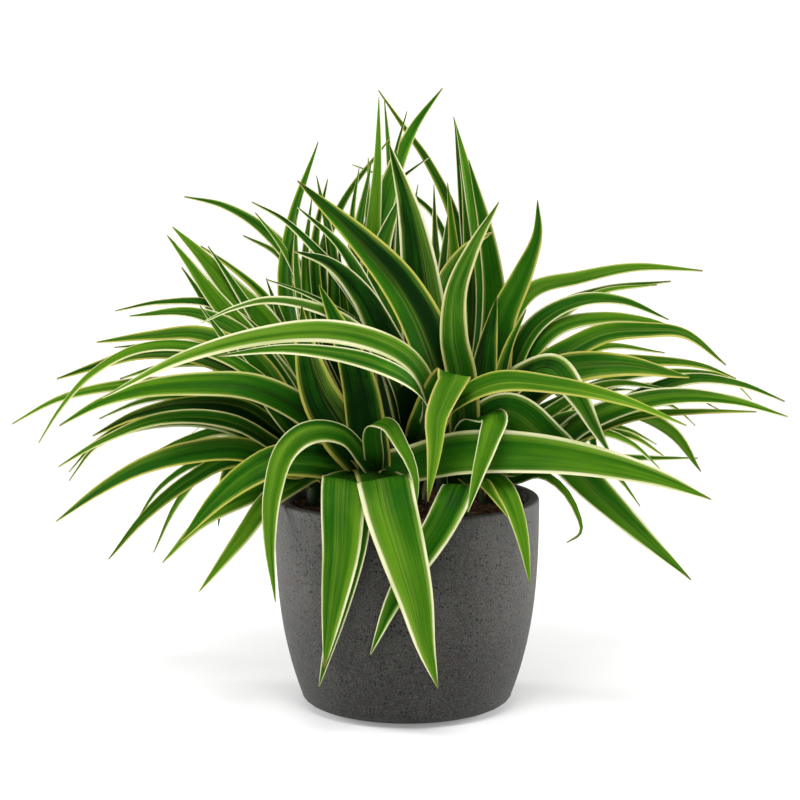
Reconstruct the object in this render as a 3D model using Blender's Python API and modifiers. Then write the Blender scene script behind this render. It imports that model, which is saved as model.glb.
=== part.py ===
"""Potted spider plant: a turned fibre-clay pot, its soil, and seven leafy crowns rooted in it.

The model stands on the XY plane with the pot's axis on Z, in metres. The front of the plant looks
along -Y. The leaf tables below are in millimetres. The leaves that show from the front were set out
from one standpoint, as a gardener or a painter would: each point of a leaf's midrib says where it is
seen against the upright plane through the pot's axis (across and up) and how far it stands in front of
that plane (toward). The leaves of the back and of the heart follow a rule with a seeded draw.
"""

import math
import random
from typing import NamedTuple

import bmesh
import bpy
import numpy as np
from mathutils import Matrix, Vector
from mathutils.bvhtree import BVHTree
from mathutils.geometry import interpolate_bezier

MM = 0.001

# The pot
POT_RIM_RADIUS = 76 * MM
POT_HEIGHT = 122 * MM
POT_FOOT_RADIUS = 41 * MM
POT_CORNER_WIDTH = 20 * MM
POT_CORNER_HEIGHT = 8 * MM
POT_BULGE = 2.85
POT_WALL = 6.5 * MM
POT_FLOOR = 8 * MM
POT_LIP_ROUND = 1.6 * MM
POT_INNER_CORNER = 6 * MM
TURN_STEPS = 36
WALL_ROWS = 5
CORNER_ROWS = 3

# The soil, and the stems that stand in it: each is a short thick base of clasped leaf bases
SOIL_LEVEL = 115 * MM
SOIL_DOME = 3 * MM
SOIL_RELIEF = 0.8 * MM
SOIL_WAVE = 7 * MM
SOIL_RINGS = 3
SOIL_ROWS = 3
GAP = 0.3 * MM
MERGE = 0.01 * MM
STEM_RADIUS = 9 * MM
STEM_TOP_RADIUS = 6.5 * MM
STEM_RISE = 27 * MM
FAN_RISE = 14 * MM
STEM_DEPTH = 24 * MM
STEM_SIDES = 8
HOLE_HEADROOM = 12 * MM

# The leaf blades
BLADE_THICKNESS = 0.8 * MM
BLADE_WIDEST_AT = 0.34
BLADE_BASE_SHARE = 0.38
BLADE_TIP_WIDTH = 0.9 * MM
NARROW_LEAF = 17 * MM
WIDE_STATIONS = 6
NARROW_STATIONS = 5
BASE_CHANNEL = 0.55
BLADE_CHANNEL = 0.18
BEND_WEIGHT = 0.22
ROOT_RING = 3 * MM
ROOT_LEVEL = SOIL_LEVEL + SOIL_DOME + 3 * MM
TAPER = 1.8
CURVE_STEPS = 8
# How much a blade's side keeps of the side further out, and how level it lies if it heads this way
SIDE_MEMORY = 0.4
LEVELLING = 1.0
SMOOTH_ANGLE = math.radians(35)

# The leaves of the fans, in mm and degrees
GOLDEN = 0.618034
FILL_WIDTHS = (9, 21)
FILL_LENGTHS = (135, 205)
FILL_RISES = (50, 82)
FILL_DROOPS = (20, 70)
FILL_SWAY = 14
FILL_TWIST = 25
ARCH_POINTS = 5
ARCH_LATE = 1.2

# What a leaf that would cross another tries in turn: shifts in mm, swings and lifts in degrees
SHIFTS = (0, 4, -4, 8, -8, 12, -12, 18, -18, 24, -24, 32, -32)
SHIFTED_POINTS = 3
SWINGS = (0, 7, -7, 14, -14, 22, -22, 32, -32, 45, -45, 60, -60)
LIFTS = (0, 8, -8, 16, -16)
# What each later try costs, when a face crossed in the leaf's own crown costs 1
LATE_COST = 3

# The clearance that neighbouring leaves keep, and the part of a leaf that may touch its own crown
LEAF_CLEARANCE = 0.7 * MM
CLASPING_SHARE = 0.12

# Where the plant was looked at from when the leaves were set out
STANDPOINT = Vector((-4, -1500, 397)) * MM
SEED = 20


class Leaf(NamedTuple):
    """A leaf set out from the standpoint: the width seen in mm, its turn in degrees, and its points in mm.

    A turn of 0 shows the blade's full face to the standpoint, and 90 would show its edge.
    """

    width: float
    turn: float
    path: tuple


class Crown(NamedTuple):
    """A plantlet: where it stands in mm, the leaves set out by hand, and how its other leaves fan out."""

    x: float
    y: float
    leaves: tuple
    fill_count: int
    fill_heading: float
    fill_spread: float


FRONT_LEFT = (
    # Three blades hang over the rim
    Leaf(30, 0, ((-14, 131, 56), (-13, 131, 73), (-9, 113, 89), (-2, 88, 94), (5, 62, 95), (11, 33, 94),
                 (18, 9, 91))),
    Leaf(25, 0, ((-35, 130, 56), (-36, 130, 72), (-37, 112, 87), (-38, 90, 91), (-42, 62, 91),
                 (-48, 21, 88))),
    Leaf(17, 10, ((-27, 125, 52), (-27, 126, 67), (-29, 112, 79), (-31, 94, 82), (-38, 62, 82),
                  (-51, 10, 78))),
    # Two arch over and fall
    Leaf(14, 15, ((-24, 143, 44), (-38, 158, 54), (-56, 159, 62), (-69, 149, 66), (-77, 125, 68),
                  (-79, 97, 68), (-76, 60, 66))),
    Leaf(11, 10, ((-19, 146, 46), (-20, 159, 52), (-17, 165, 60), (-10, 163, 66), (-4, 153, 70),
                  (1, 144, 73), (5, 131, 77), (5, 115, 82))),
    # A broad one reaches to the right, one falls to the left, two rise, and one arches far to the left
    Leaf(24, 12, ((4, 141, 40), (32, 147, 50), (72, 147, 56), (108, 142, 56), (143, 133, 52),
                  (175, 120, 46))),
    Leaf(20, 20, ((-37, 140, 32), (-56, 143, 38), (-76, 142, 43), (-92, 134, 46), (-108, 121, 47),
                  (-130, 96, 46))),
    Leaf(26, 10, ((-38, 160, 36), (-50, 180, 40), (-57, 203, 40), (-60, 232, 34))),
    Leaf(22, 5, ((-23, 160, 38), (-27, 185, 42), (-34, 208, 42), (-50, 244, 34))),
    Leaf(16, 20, ((-60, 172, 28), (-88, 185, 32), (-118, 187, 32), (-150, 184, 28), (-176, 176, 24),
                  (-199, 163, 20))),
)
FRONT_RIGHT = (
    Leaf(17, 10, ((35, 158, 36), (43, 168, 46), (50, 168, 58), (47, 155, 70), (41, 135, 76),
                  (35, 113, 80))),
    Leaf(18, 10, ((30, 123, 48), (30, 128, 68), (25, 117, 81), (18, 103, 84), (5, 82, 84), (-8, 60, 83),
                  (-21, 29, 80))),
    Leaf(12, 10, ((42, 134, 40), (51, 131, 48), (58, 123, 57), (63, 111, 61), (67, 96, 60),
                  (71, 71, 56))),
    Leaf(9, 10, ((38, 130, 46), (44, 130, 57), (51, 121, 68), (58, 110, 76))),
    Leaf(22, 10, ((36, 155, 30), (56, 171, 42), (82, 153, 48), (107, 127, 48), (133, 102, 44),
                  (164, 73, 38))),
    Leaf(18, 10, ((33, 165, 25), (31, 194, 22), (27, 214, 20), (28, 240, 18), (37, 264, 16),
                  (52, 291, 14))),
)
CENTRE = (
    Leaf(27, 22, ((21, 180, 22), (12, 213, 34), (-3, 242, 40), (-25, 268, 42), (-62, 303, 38))),
    Leaf(14, 35, ((14, 172, 30), (4, 198, 46), (-14, 210, 54), (-45, 217, 62), (-85, 214, 66),
                  (-128, 202, 64), (-174, 179, 56))),
    Leaf(12, 35, ((12, 165, 34), (4, 186, 50), (-14, 197, 56), (-40, 204, 58), (-72, 207, 60),
                  (-108, 203, 58))),
    Leaf(21, 18, ((12, 165, 35), (22, 187, 48), (27, 192, 57), (22, 181, 68), (17, 168, 74),
                  (16, 150, 79), (12, 119, 82))),
    Leaf(13, 40, ((15, 160, 33), (30, 178, 52), (52, 188, 60), (85, 186, 64), (122, 178, 60),
                  (160, 163, 50))),
    Leaf(28, -18, ((11, 200, 4), (9, 240, 2), (2, 284, 0), (-10, 324, -2))),
    Leaf(21, 24, ((-2, 185, 24), (-14, 215, 30), (-26, 238, 32), (-44, 256, 30), (-64, 263, 26))),
    Leaf(21, -22, ((14, 190, 14), (17, 225, 18), (24, 250, 18), (34, 265, 16), (48, 274, 12))),
    Leaf(11, 30, ((-6, 200, 14), (-20, 235, 16), (-38, 266, 16), (-62, 288, 14))),
    Leaf(9, 28, ((-10, 200, 8), (-32, 240, 8), (-52, 264, 6), (-70, 281, 4), (-88, 291, 0))),
    Leaf(8, 40, ((-8, 190, 18), (-32, 221, 24), (-56, 232, 28), (-80, 235, 28), (-100, 230, 26),
                 (-117, 222, 22))),
    Leaf(22, -28, ((-12, 215, 0), (-16, 258, -4), (-3, 297, -6))),
    Leaf(5, 30, ((-10, 205, -10), (-34, 226, -10), (-58, 239, -12), (-80, 247, -14))),
)
RIGHT = (
    Leaf(22, 20, ((52, 165, 5), (62, 188, 30), (82, 197, 46), (97, 181, 52), (107, 163, 53),
                  (117, 146, 50))),
    Leaf(22, 15, ((62, 175, 8), (88, 194, 20), (120, 198, 26), (161, 191, 22))),
    Leaf(20, 25, ((50, 180, -2), (54, 222, 0), (66, 250, 0), (74, 272, -2), (74, 292, -4))),
    Leaf(20, -26, ((42, 175, 8), (45, 205, 12), (51, 237, 12))),
    Leaf(10, 28, ((52, 182, 16), (58, 208, 22), (68, 230, 24))),
    Leaf(14, 15, ((58, 170, 2), (76, 196, 10), (95, 208, 10), (112, 216, 6), (135, 218, 0),
                  (158, 216, -6), (182, 198, -12))),
    Leaf(10, 20, ((78, 140, -12), (108, 164, -20), (135, 181, -22), (162, 190, -22), (190, 187, -20),
                  (216, 177, -18))),
    Leaf(13, 40, ((75, 145, 0), (102, 165, -4), (130, 176, -6), (158, 180, -8), (188, 177, -8),
                  (218, 168, -8))),
    Leaf(11, 25, ((60, 185, -12), (84, 218, -22), (112, 225, -26), (138, 223, -26), (160, 216, -24))),
    Leaf(12, 25, ((58, 190, -14), (74, 222, -28), (98, 235, -34), (122, 235, -36), (149, 224, -36))),
    Leaf(5, 20, ((62, 131, -8), (76, 135, -4), (89, 127, 0), (98, 112, 2), (100, 101, 2), (92, 95, 2))),
    Leaf(5, 30, ((90, 150, -30), (125, 172, -40), (150, 175, -42), (165, 163, -42))),
)
LEFT = (
    Leaf(21, 5, ((-62, 185, -14), (-82, 222, -20), (-104, 246, -24), (-118, 262, -26),
                 (-133, 277, -28))),
    Leaf(16, 5, ((-66, 180, -6), (-92, 215, -10), (-112, 240, -12), (-125, 258, -12),
                 (-136, 272, -12))),
    Leaf(14, 35, ((-66, 138, 14), (-95, 149, 18), (-125, 147, 18), (-152, 139, 14), (-176, 126, 10),
                  (-202, 107, 6))),
    Leaf(12, 10, ((-66, 129, 20), (-80, 119, 28), (-94, 100, 30), (-107, 83, 28), (-120, 66, 24))),
    Leaf(13, 20, ((-64, 162, 10), (-92, 192, 12), (-125, 205, 12), (-152, 205, 10), (-176, 198, 8),
                  (-200, 190, 6))),
    Leaf(7, 20, ((-66, 172, 20), (-110, 205, 24), (-150, 208, 22), (-180, 193, 18), (-199, 172, 14),
                 (-211, 153, 12))),
    Leaf(12, 30, ((-68, 180, 0), (-95, 216, -4), (-122, 228, -6), (-158, 226, -8))),
    Leaf(12, 25, ((-66, 170, 6), (-90, 204, 4), (-118, 216, 2), (-145, 215, 0), (-177, 211, -2))),
    Leaf(8, 30, ((-66, 172, -18), (-95, 203, -24), (-130, 210, -28), (-167, 208, -30))),
    Leaf(9, 30, ((-66, 158, -8), (-100, 181, -14), (-140, 187, -18), (-172, 185, -20), (-200, 178, -22),
                 (-226, 164, -24))),
    Leaf(12, 30, ((-66, 152, -2), (-95, 172, -2), (-125, 175, -4), (-155, 169, -6), (-180, 157, -8))),
    Leaf(9, 30, ((-66, 146, 6), (-100, 165, 8), (-140, 167, 8), (-175, 154, 6), (-200, 139, 4))),
    Leaf(7, 20, ((-68, 146, -16), (-110, 164, -22), (-150, 163, -24), (-177, 152, -26),
                 (-194, 131, -28))),
    Leaf(8, 30, ((-70, 142, -28), (-100, 160, -40), (-125, 155, -46), (-156, 141, -50))),
    Leaf(6, 20, ((-75, 136, -36), (-115, 143, -52), (-141, 128, -58), (-157, 105, -60))),
    Leaf(10, 20, ((-72, 138, -6), (-98, 144, -8), (-125, 131, -10), (-150, 111, -12), (-172, 85, -14))),
    Leaf(6, 20, ((-74, 134, -20), (-108, 142, -30), (-130, 121, -34), (-146, 89, -36))),
    Leaf(10, 15, ((-74, 128, 2), (-95, 120, 6), (-118, 107, 6), (-141, 83, 4))),
    Leaf(11, 10, ((-70, 175, -24), (-96, 210, -34), (-113, 232, -38), (-128, 254, -42))),
    Leaf(9, 40, ((-66, 190, -32), (-90, 226, -40), (-112, 235, -44), (-131, 234, -46))),
    Leaf(9, 30, ((-70, 165, 30), (-88, 190, 36), (-103, 211, 38), (-118, 232, 38))),
)
BACK_LEFT = (
    Leaf(18, 35, ((-20, 230, -36), (-16, 275, -36), (-8, 305, -36), (4, 333, -36), (20, 355, -38))),
    Leaf(12, -30, ((-22, 220, -30), (-20, 270, -30), (-17, 310, -28), (-16, 350, -28))),
    Leaf(9, 38, ((-12, 240, -44), (-9, 290, -44), (-11, 325, -44), (-13, 349, -44))),
    Leaf(6, 30, ((-30, 230, -50), (-24, 275, -52), (-8, 300, -54), (12, 316, -56))),
    Leaf(8, -35, ((-46, 220, -46), (-48, 262, -48), (-36, 292, -48), (-10, 327, -48))),
    Leaf(12, 30, ((-30, 220, -24), (-29, 265, -24), (-20, 314, -24))),
    Leaf(11, 32, ((-60, 200, -40), (-69, 245, -44), (-65, 280, -44), (-50, 325, -42))),
    Leaf(11, -34, ((-40, 215, -34), (-42, 262, -36), (-51, 306, -36))),
    Leaf(9, 30, ((-54, 215, -30), (-58, 258, -30), (-54, 294, -30))),
    Leaf(12, 25, ((-52, 215, -50), (-64, 255, -56), (-82, 276, -60), (-104, 289, -62),
                  (-126, 294, -64))),
    Leaf(10, 28, ((-54, 205, -40), (-62, 240, -44), (-73, 261, -46), (-93, 272, -48))),
    Leaf(8, 24, ((-58, 200, -56), (-82, 238, -66), (-100, 254, -70), (-117, 266, -74))),
    Leaf(9, -30, ((-64, 200, -22), (-72, 225, -24), (-80, 248, -26))),
)
BACK_RIGHT = (
    Leaf(18, 34, ((40, 220, -40), (38, 262, -40), (34, 302, -40), (26, 339, -42))),
    Leaf(17, -30, ((48, 200, -30), (50, 240, -32), (45, 275, -34), (35, 315, -36))),
    Leaf(9, -28, ((34, 240, -52), (27, 282, -54), (12, 314, -54), (-2, 334, -54), (-16, 354, -54))),
    Leaf(6, 30, ((26, 245, -60), (16, 282, -62), (-2, 298, -64), (-16, 306, -64), (-31, 312, -64))),
    Leaf(9, 35, ((20, 220, -44), (16, 262, -46), (15, 301, -46))),
    Leaf(12, -30, ((30, 220, -36), (27, 262, -34), (23, 302, -34))),
    Leaf(8, 32, ((6, 240, -48), (2, 275, -50), (6, 301, -50))),
    Leaf(11, 25, ((50, 205, -56), (70, 240, -64), (98, 248, -68), (130, 254, -70), (168, 252, -72))),
    Leaf(9, 25, ((54, 200, -60), (80, 228, -72), (112, 241, -78), (150, 246, -80))),
    Leaf(10, 30, ((70, 180, -50), (108, 198, -60), (148, 200, -64), (170, 197, -64), (188, 190, -64))),
    Leaf(8, 30, ((75, 185, -70), (110, 208, -86), (147, 205, -92))),
    Leaf(6, 30, ((72, 170, -60), (120, 190, -76), (165, 194, -84), (184, 190, -86), (197, 178, -86))),
    Leaf(8, 40, ((75, 140, -66), (108, 162, -84), (125, 161, -90), (143, 152, -94))),
    Leaf(8, 40, ((70, 135, -60), (105, 158, -76), (128, 157, -82), (149, 144, -86))),
    Leaf(7, 30, ((64, 136, -46), (92, 141, -64), (120, 144, -76), (145, 144, -84), (167, 144, -88))),
)

# fill_heading is the middle of the fan of a crown's other leaves, in degrees from +X towards +Y
CROWNS = {
    "crown_front_left": Crown(-18, -32, FRONT_LEFT, 0, 0, 0),
    "crown_front_right": Crown(28, -32, FRONT_RIGHT, 0, 0, 0),
    "crown_centre": Crown(4, 2, CENTRE, 3, 90, 70),
    "crown_right": Crown(49, 6, RIGHT, 3, 72, 25),
    "crown_left": Crown(-50, 4, LEFT, 3, 112, 25),
    "crown_back_left": Crown(-27, 41, BACK_LEFT, 7, 98, 50),
    "crown_back_right": Crown(25, 42, BACK_RIGHT, 6, 82, 50),
}

GREEN = (0.10, 0.33, 0.06, 1)
FIBRE_CLAY = (0.11, 0.11, 0.11, 1)
COIR = (0.09, 0.035, 0.015, 1)


def clear_scene():
    for obj in list(bpy.data.objects):
        bpy.data.objects.remove(obj, do_unlink=True)


def new_collection(name, is_helper=False):
    collection = bpy.data.collections.new(name)
    bpy.context.scene.collection.children.link(collection)
    collection.hide_render = is_helper
    return collection


def new_material(name, color, roughness):
    material = bpy.data.materials.new(name)
    material.use_nodes = True
    shader = material.node_tree.nodes["Principled BSDF"]
    shader.inputs["Base Color"].default_value = color
    shader.inputs["Roughness"].default_value = roughness
    shader.inputs["Metallic"].default_value = 0
    material.diffuse_color = color
    return material


def new_object(name, mesh, collection, material=None):
    obj = bpy.data.objects.new(name, mesh)
    collection.objects.link(obj)
    if material:
        mesh.materials.append(material)
    return obj


def frozen_mesh(obj):
    """The object's mesh as its modifiers leave it."""
    graph = bpy.context.evaluated_depsgraph_get()
    return bpy.data.meshes.new_from_object(obj.evaluated_get(graph))


def smooth(mesh):
    mesh.shade_smooth()
    mesh.set_sharp_from_angle(angle=SMOOTH_ANGLE)


def turned(name, profile, steps, collection, material=None):
    """A shape turned on Z from (radius, height) points that run down its outer side."""
    bm = bmesh.new()
    corners = [bm.verts.new((radius, 0, height)) for radius, height in profile]
    for upper, lower in zip(corners, corners[1:]):
        bm.edges.new((upper, lower))
    mesh = bpy.data.meshes.new(name)
    bm.to_mesh(mesh)
    bm.free()
    obj = new_object(name, mesh, collection, material)
    screw = obj.modifiers.new("turn", "SCREW")
    screw.steps = steps
    screw.render_steps = steps
    screw.use_merge_vertices = True
    screw.merge_threshold = MERGE
    screw.use_normal_calculate = False
    return obj


def wall_radius(height):
    """The pot's outer radius: a bowl that steepens until the rim stands nearly upright."""
    share = max(0.0, (height - POT_CORNER_HEIGHT) / (POT_HEIGHT - POT_CORNER_HEIGHT))
    shoulder = POT_FOOT_RADIUS + POT_CORNER_WIDTH
    return shoulder + (POT_RIM_RADIUS - shoulder) * (1 - (1 - share) ** POT_BULGE)


def arc(centre_radius, centre_height, size, start, end, count):
    """Points on a rounded edge, from one angle to another in degrees."""
    angles = [math.radians(start + (end - start) * i / count) for i in range(count + 1)]
    return [(centre_radius + size * math.cos(a), centre_height + size * math.sin(a)) for a in angles]


def wall_heights(low, high, count):
    return [low + (high - low) * i / count for i in range(count + 1)]


def make_pot(collection, material):
    inner_low = POT_FLOOR + POT_INNER_CORNER
    lip = POT_HEIGHT - POT_LIP_ROUND
    inside = [(wall_radius(z) - POT_WALL, z) for z in wall_heights(inner_low, lip, WALL_ROWS)]
    outside = [(wall_radius(z), z) for z in wall_heights(lip, POT_CORNER_HEIGHT, WALL_ROWS)]
    inner_lip = arc(inside[-1][0] + POT_LIP_ROUND, lip, POT_LIP_ROUND, 180, 90, 2)
    outer_lip = arc(outside[0][0] - POT_LIP_ROUND, lip, POT_LIP_ROUND, 90, 0, 2)
    turns = [math.radians(90 * (1 - i / CORNER_ROWS)) for i in range(1, CORNER_ROWS + 1)]
    corner = [
        (POT_FOOT_RADIUS + POT_CORNER_WIDTH * math.sin(t), POT_CORNER_HEIGHT * (1 - math.cos(t)))
        for t in turns
    ]
    floor = [(0, POT_FLOOR), (inside[0][0] - POT_INNER_CORNER, POT_FLOOR)]
    profile = floor + inside + inner_lip[1:] + outer_lip[:-1] + outside + corner + [(0, 0)]
    pot = turned("pot", profile, TURN_STEPS, collection, material)
    pot.data = frozen_mesh(pot)
    pot.modifiers.clear()
    smooth(pot.data)
    return pot


def soil_height(x, y):
    """The soil's surface: a low dome with an uneven relief."""
    radius = wall_radius(SOIL_LEVEL) - POT_WALL
    dome = SOIL_DOME * (1 - (x * x + y * y) / radius**2)
    waves = math.sin(x / SOIL_WAVE + 1) * math.cos(y / SOIL_WAVE) + math.sin((x + 2 * y) / SOIL_WAVE)
    return SOIL_LEVEL + dome + SOIL_RELIEF * waves / 2


def make_soil(collection, cutters, material):
    """The soil fills the pot to its own level, with a plain hole for each crown's stem."""
    inner_low = POT_FLOOR + POT_INNER_CORNER
    side = [(wall_radius(z) - POT_WALL - GAP, z) for z in wall_heights(SOIL_LEVEL, inner_low, SOIL_ROWS)]
    top = [(side[0][0] * i / SOIL_RINGS, SOIL_LEVEL) for i in range(SOIL_RINGS)]
    foot = [(side[-1][0] - POT_INNER_CORNER, POT_FLOOR + GAP), (0, POT_FLOOR + GAP)]
    soil = turned("soil", top + side + foot, TURN_STEPS, collection, material)
    soil.data = frozen_mesh(soil)
    soil.modifiers.clear()
    for vertex in soil.data.vertices:
        is_top = vertex.co.z > SOIL_LEVEL - MERGE
        is_rim = math.hypot(vertex.co.x, vertex.co.y) > side[0][0] - MERGE
        if is_top and not is_rim:
            vertex.co.z = soil_height(vertex.co.x, vertex.co.y)
    for name, crown in CROWNS.items():
        depth = STEM_DEPTH + GAP
        radius = STEM_RADIUS + GAP
        top_level = SOIL_LEVEL + HOLE_HEADROOM
        low = SOIL_LEVEL - depth
        profile = [(0, top_level), (radius, top_level), (radius, low), (0, low)]
        hole = turned(name.replace("crown", "hole"), profile, STEM_SIDES, cutters)
        hole.location = (crown.x * MM, crown.y * MM, 0)
        hole.hide_render = True
        hole.display_type = "WIRE"
    holes = soil.modifiers.new("stem holes", "BOOLEAN")
    holes.operation = "DIFFERENCE"
    holes.operand_type = "COLLECTION"
    holes.collection = cutters
    return soil


def on_sight_line(across, up, toward):
    """A point seen at (across, up) on the upright plane through the pot's axis, this far in front of it."""
    on_plane = Vector((across, 0, up)) * MM
    return STANDPOINT + (on_plane - STANDPOINT) * (1 + toward * MM / STANDPOINT.y)


def rooted(crown, rank, points):
    """The points with the leaf's root put before them, inside the crown's stem beside the other roots."""
    away = points[0] - Vector((crown.x, crown.y, 0)) * MM
    away.z = 0
    away.normalize()
    beside = Vector((-away.y, away.x, 0)) * (2 * (rank * GOLDEN % 1) - 1)
    stem = Vector((crown.x, crown.y, 0)) * MM + (away + beside) * ROOT_RING
    low = stem + Vector((0, 0, ROOT_LEVEL))
    high = stem + Vector((0, 0, min(points[0].z, SOIL_LEVEL + STEM_RISE)))
    return [low, high] + points


def smooth_curve(points, steps=CURVE_STEPS):
    """Many points on one smooth curve through these."""
    spans = [after - before for before, after in zip(points, points[1:])]
    headings = [span.normalized() for span in spans]
    tangents = [(a + b).normalized() for a, b in zip([headings[0]] + headings, headings + [headings[-1]])]
    curve = [points[0]]
    for i, span in enumerate(spans):
        reach = span.length / 3
        start, end = points[i], points[i + 1]
        handles = start + tangents[i] * reach, end - tangents[i + 1] * reach
        curve += interpolate_bezier(start, *handles, end, steps + 1)[1:]
    return curve


def spaced(curve, count):
    """Points along the curve, closer together where it bends, with each one's share of the length."""
    lengths = [0.0]
    measure = [0.0]
    total = sum((b - a).length for a, b in zip(curve, curve[1:]))
    for i in range(1, len(curve)):
        step = curve[i] - curve[i - 1]
        turn = step.angle(curve[i + 1] - curve[i], 0) if i + 1 < len(curve) else 0
        lengths.append(lengths[-1] + step.length / total)
        measure.append(measure[-1] + step.length / total + BEND_WEIGHT * turn)
    wanted = np.linspace(0, measure[-1], count + 1)
    axes = [np.interp(wanted, measure, [point[axis] for point in curve]) for axis in range(3)]
    shares = np.interp(wanted, measure, lengths)
    return [Vector(point) for point in zip(*axes)], [float(share) for share in shares]


def blade_width(leaf_width, share):
    """Narrow at the root, full before the middle of its length, and long in the tip."""
    if share < BLADE_WIDEST_AT:
        rise = math.sin(math.pi / 2 * share / BLADE_WIDEST_AT)
        return leaf_width * (BLADE_BASE_SHARE + (1 - BLADE_BASE_SHARE) * rise)
    fall = (share - BLADE_WIDEST_AT) / (1 - BLADE_WIDEST_AT)
    return BLADE_TIP_WIDTH + (leaf_width - BLADE_TIP_WIDTH) * (1 - fall**TAPER)


class Blade(NamedTuple):
    """A leaf's stations: where its midrib runs, and which way its side and its upper face look there."""

    width: float
    points: list
    shares: list
    sides: list
    faces: list


def blade_along(width, points, side_at):
    """A blade on the smooth curve through the points. side_at gives its side from a heading and a place."""
    count = WIDE_STATIONS if width > NARROW_LEAF else NARROW_STATIONS
    stations, shares = spaced(smooth_curve(points), count)
    sides = []
    faces = []
    outer = Vector()
    for i in reversed(range(count + 1)):
        heading = (stations[min(i + 1, count)] - stations[max(i - 1, 0)]).normalized()
        side = side_at(heading, stations[i])
        # From its tip down to its root, the blade never turns over
        side = (-side if side.dot(outer) < 0 else side) + outer * SIDE_MEMORY
        outer = (side - side.project(heading)).normalized()
        sides.insert(0, outer)
        faces.insert(0, outer.cross(heading))
    return Blade(width, stations, shares, sides, faces)


def set_out_blade(crown, rank, leaf, shift):
    """A leaf set out from the standpoint, its outer part moved along the sight lines by a shift in mm."""
    reaches = [min(1, (i + 1) / SHIFTED_POINTS) for i in range(len(leaf.path))]
    points = [
        on_sight_line(across, up, toward + shift * reach)
        for (across, up, toward), reach in zip(leaf.path, reaches)
    ]
    goes_right = 1 if leaf.path[-1][0] > leaf.path[0][0] else -1
    turn = math.radians(leaf.turn)

    def side_at(heading, place):
        sight = (STANDPOINT - place).normalized()
        sight.z += LEVELLING * heading.dot(sight) ** 2
        facing = sight - sight.project(heading)
        return heading.cross(facing) * math.cos(turn) + facing * goes_right * math.sin(turn)

    return blade_along(leaf.width * MM / math.cos(turn), rooted(crown, rank, points), side_at)


class Arch(NamedTuple):
    """A leaf of the fan: sizes in metres, and angles in radians."""

    width: float
    length: float
    heading: float
    rise: float
    droop: float
    sway: float
    twist: float


def arches(crown, draw):
    """The crown's other leaves, fanned out by the golden ratio with seeded sizes."""
    for i in range(crown.fill_count):
        fan = 2 * ((0.5 + i * GOLDEN) % 1) - 1
        yield Arch(
            width=draw.uniform(*FILL_WIDTHS) * MM,
            length=draw.uniform(*FILL_LENGTHS) * MM,
            heading=math.radians(crown.fill_heading + crown.fill_spread * fan),
            rise=math.radians(draw.uniform(*FILL_RISES)),
            droop=math.radians(draw.uniform(*FILL_DROOPS)),
            sway=math.radians(draw.uniform(-FILL_SWAY, FILL_SWAY)),
            twist=math.radians(draw.uniform(-FILL_TWIST, FILL_TWIST)),
        )


def arched_blade(crown, rank, arch, swing, lift):
    """A leaf that rises from its crown and bends over, turned by a swing and raised by a lift in degrees."""
    place = Vector((crown.x * MM, crown.y * MM, SOIL_LEVEL + FAN_RISE))
    points = []
    for i in range(1, ARCH_POINTS + 1):
        share = i / ARCH_POINTS
        heading = arch.heading + math.radians(swing) + arch.sway * share
        climb = arch.rise + math.radians(lift) - (arch.rise + arch.droop) * share**ARCH_LATE
        level = math.cos(climb)
        step = Vector((math.cos(heading) * level, math.sin(heading) * level, math.sin(climb)))
        place = place + step * arch.length / ARCH_POINTS
        points.append(place)
    level_side = Vector((-math.sin(arch.heading), math.cos(arch.heading), 0))

    def side_at(heading, _place):
        return Matrix.Rotation(arch.twist, 3, heading) @ -level_side

    return blade_along(arch.width, rooted(crown, rank, points), side_at)


def blade_mesh(blade, grow=0.0, from_share=0.0):
    """The blade as a closed solid, split into triangles alike on both faces, grown by a clearance.

    Its two halves slope up from the midrib, steeply at the root, so that the upper face is a channel.
    """
    first = sum(share < from_share for share in blade.shares)
    rows = len(blade.points) - 1 - first
    columns = 1 if blade.width < NARROW_LEAF else 2
    bm = bmesh.new()
    bmesh.ops.create_grid(bm, x_segments=columns, y_segments=rows, size=1)
    for vertex in bm.verts:
        across = vertex.co.x
        station = first + round((vertex.co.y + 1) / 2 * rows)
        share = blade.shares[station]
        half = blade_width(blade.width, share) / 2 + grow
        channel = BLADE_CHANNEL + (BASE_CHANNEL - BLADE_CHANNEL) * max(0.0, 1 - share / BLADE_WIDEST_AT)
        height = channel * half * (abs(across) - 0.5) + BLADE_THICKNESS / 2 + grow
        sideways = blade.sides[station] * across * half
        vertex.co = blade.points[station] + sideways + blade.faces[station] * height
    bmesh.ops.triangulate(bm, faces=bm.faces)
    bmesh.ops.solidify(bm, geom=bm.faces[:], thickness=BLADE_THICKNESS + 2 * grow)
    return bm


def tree_of(bm):
    tree = BVHTree.FromBMesh(bm)
    bm.free()
    return tree


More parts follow.
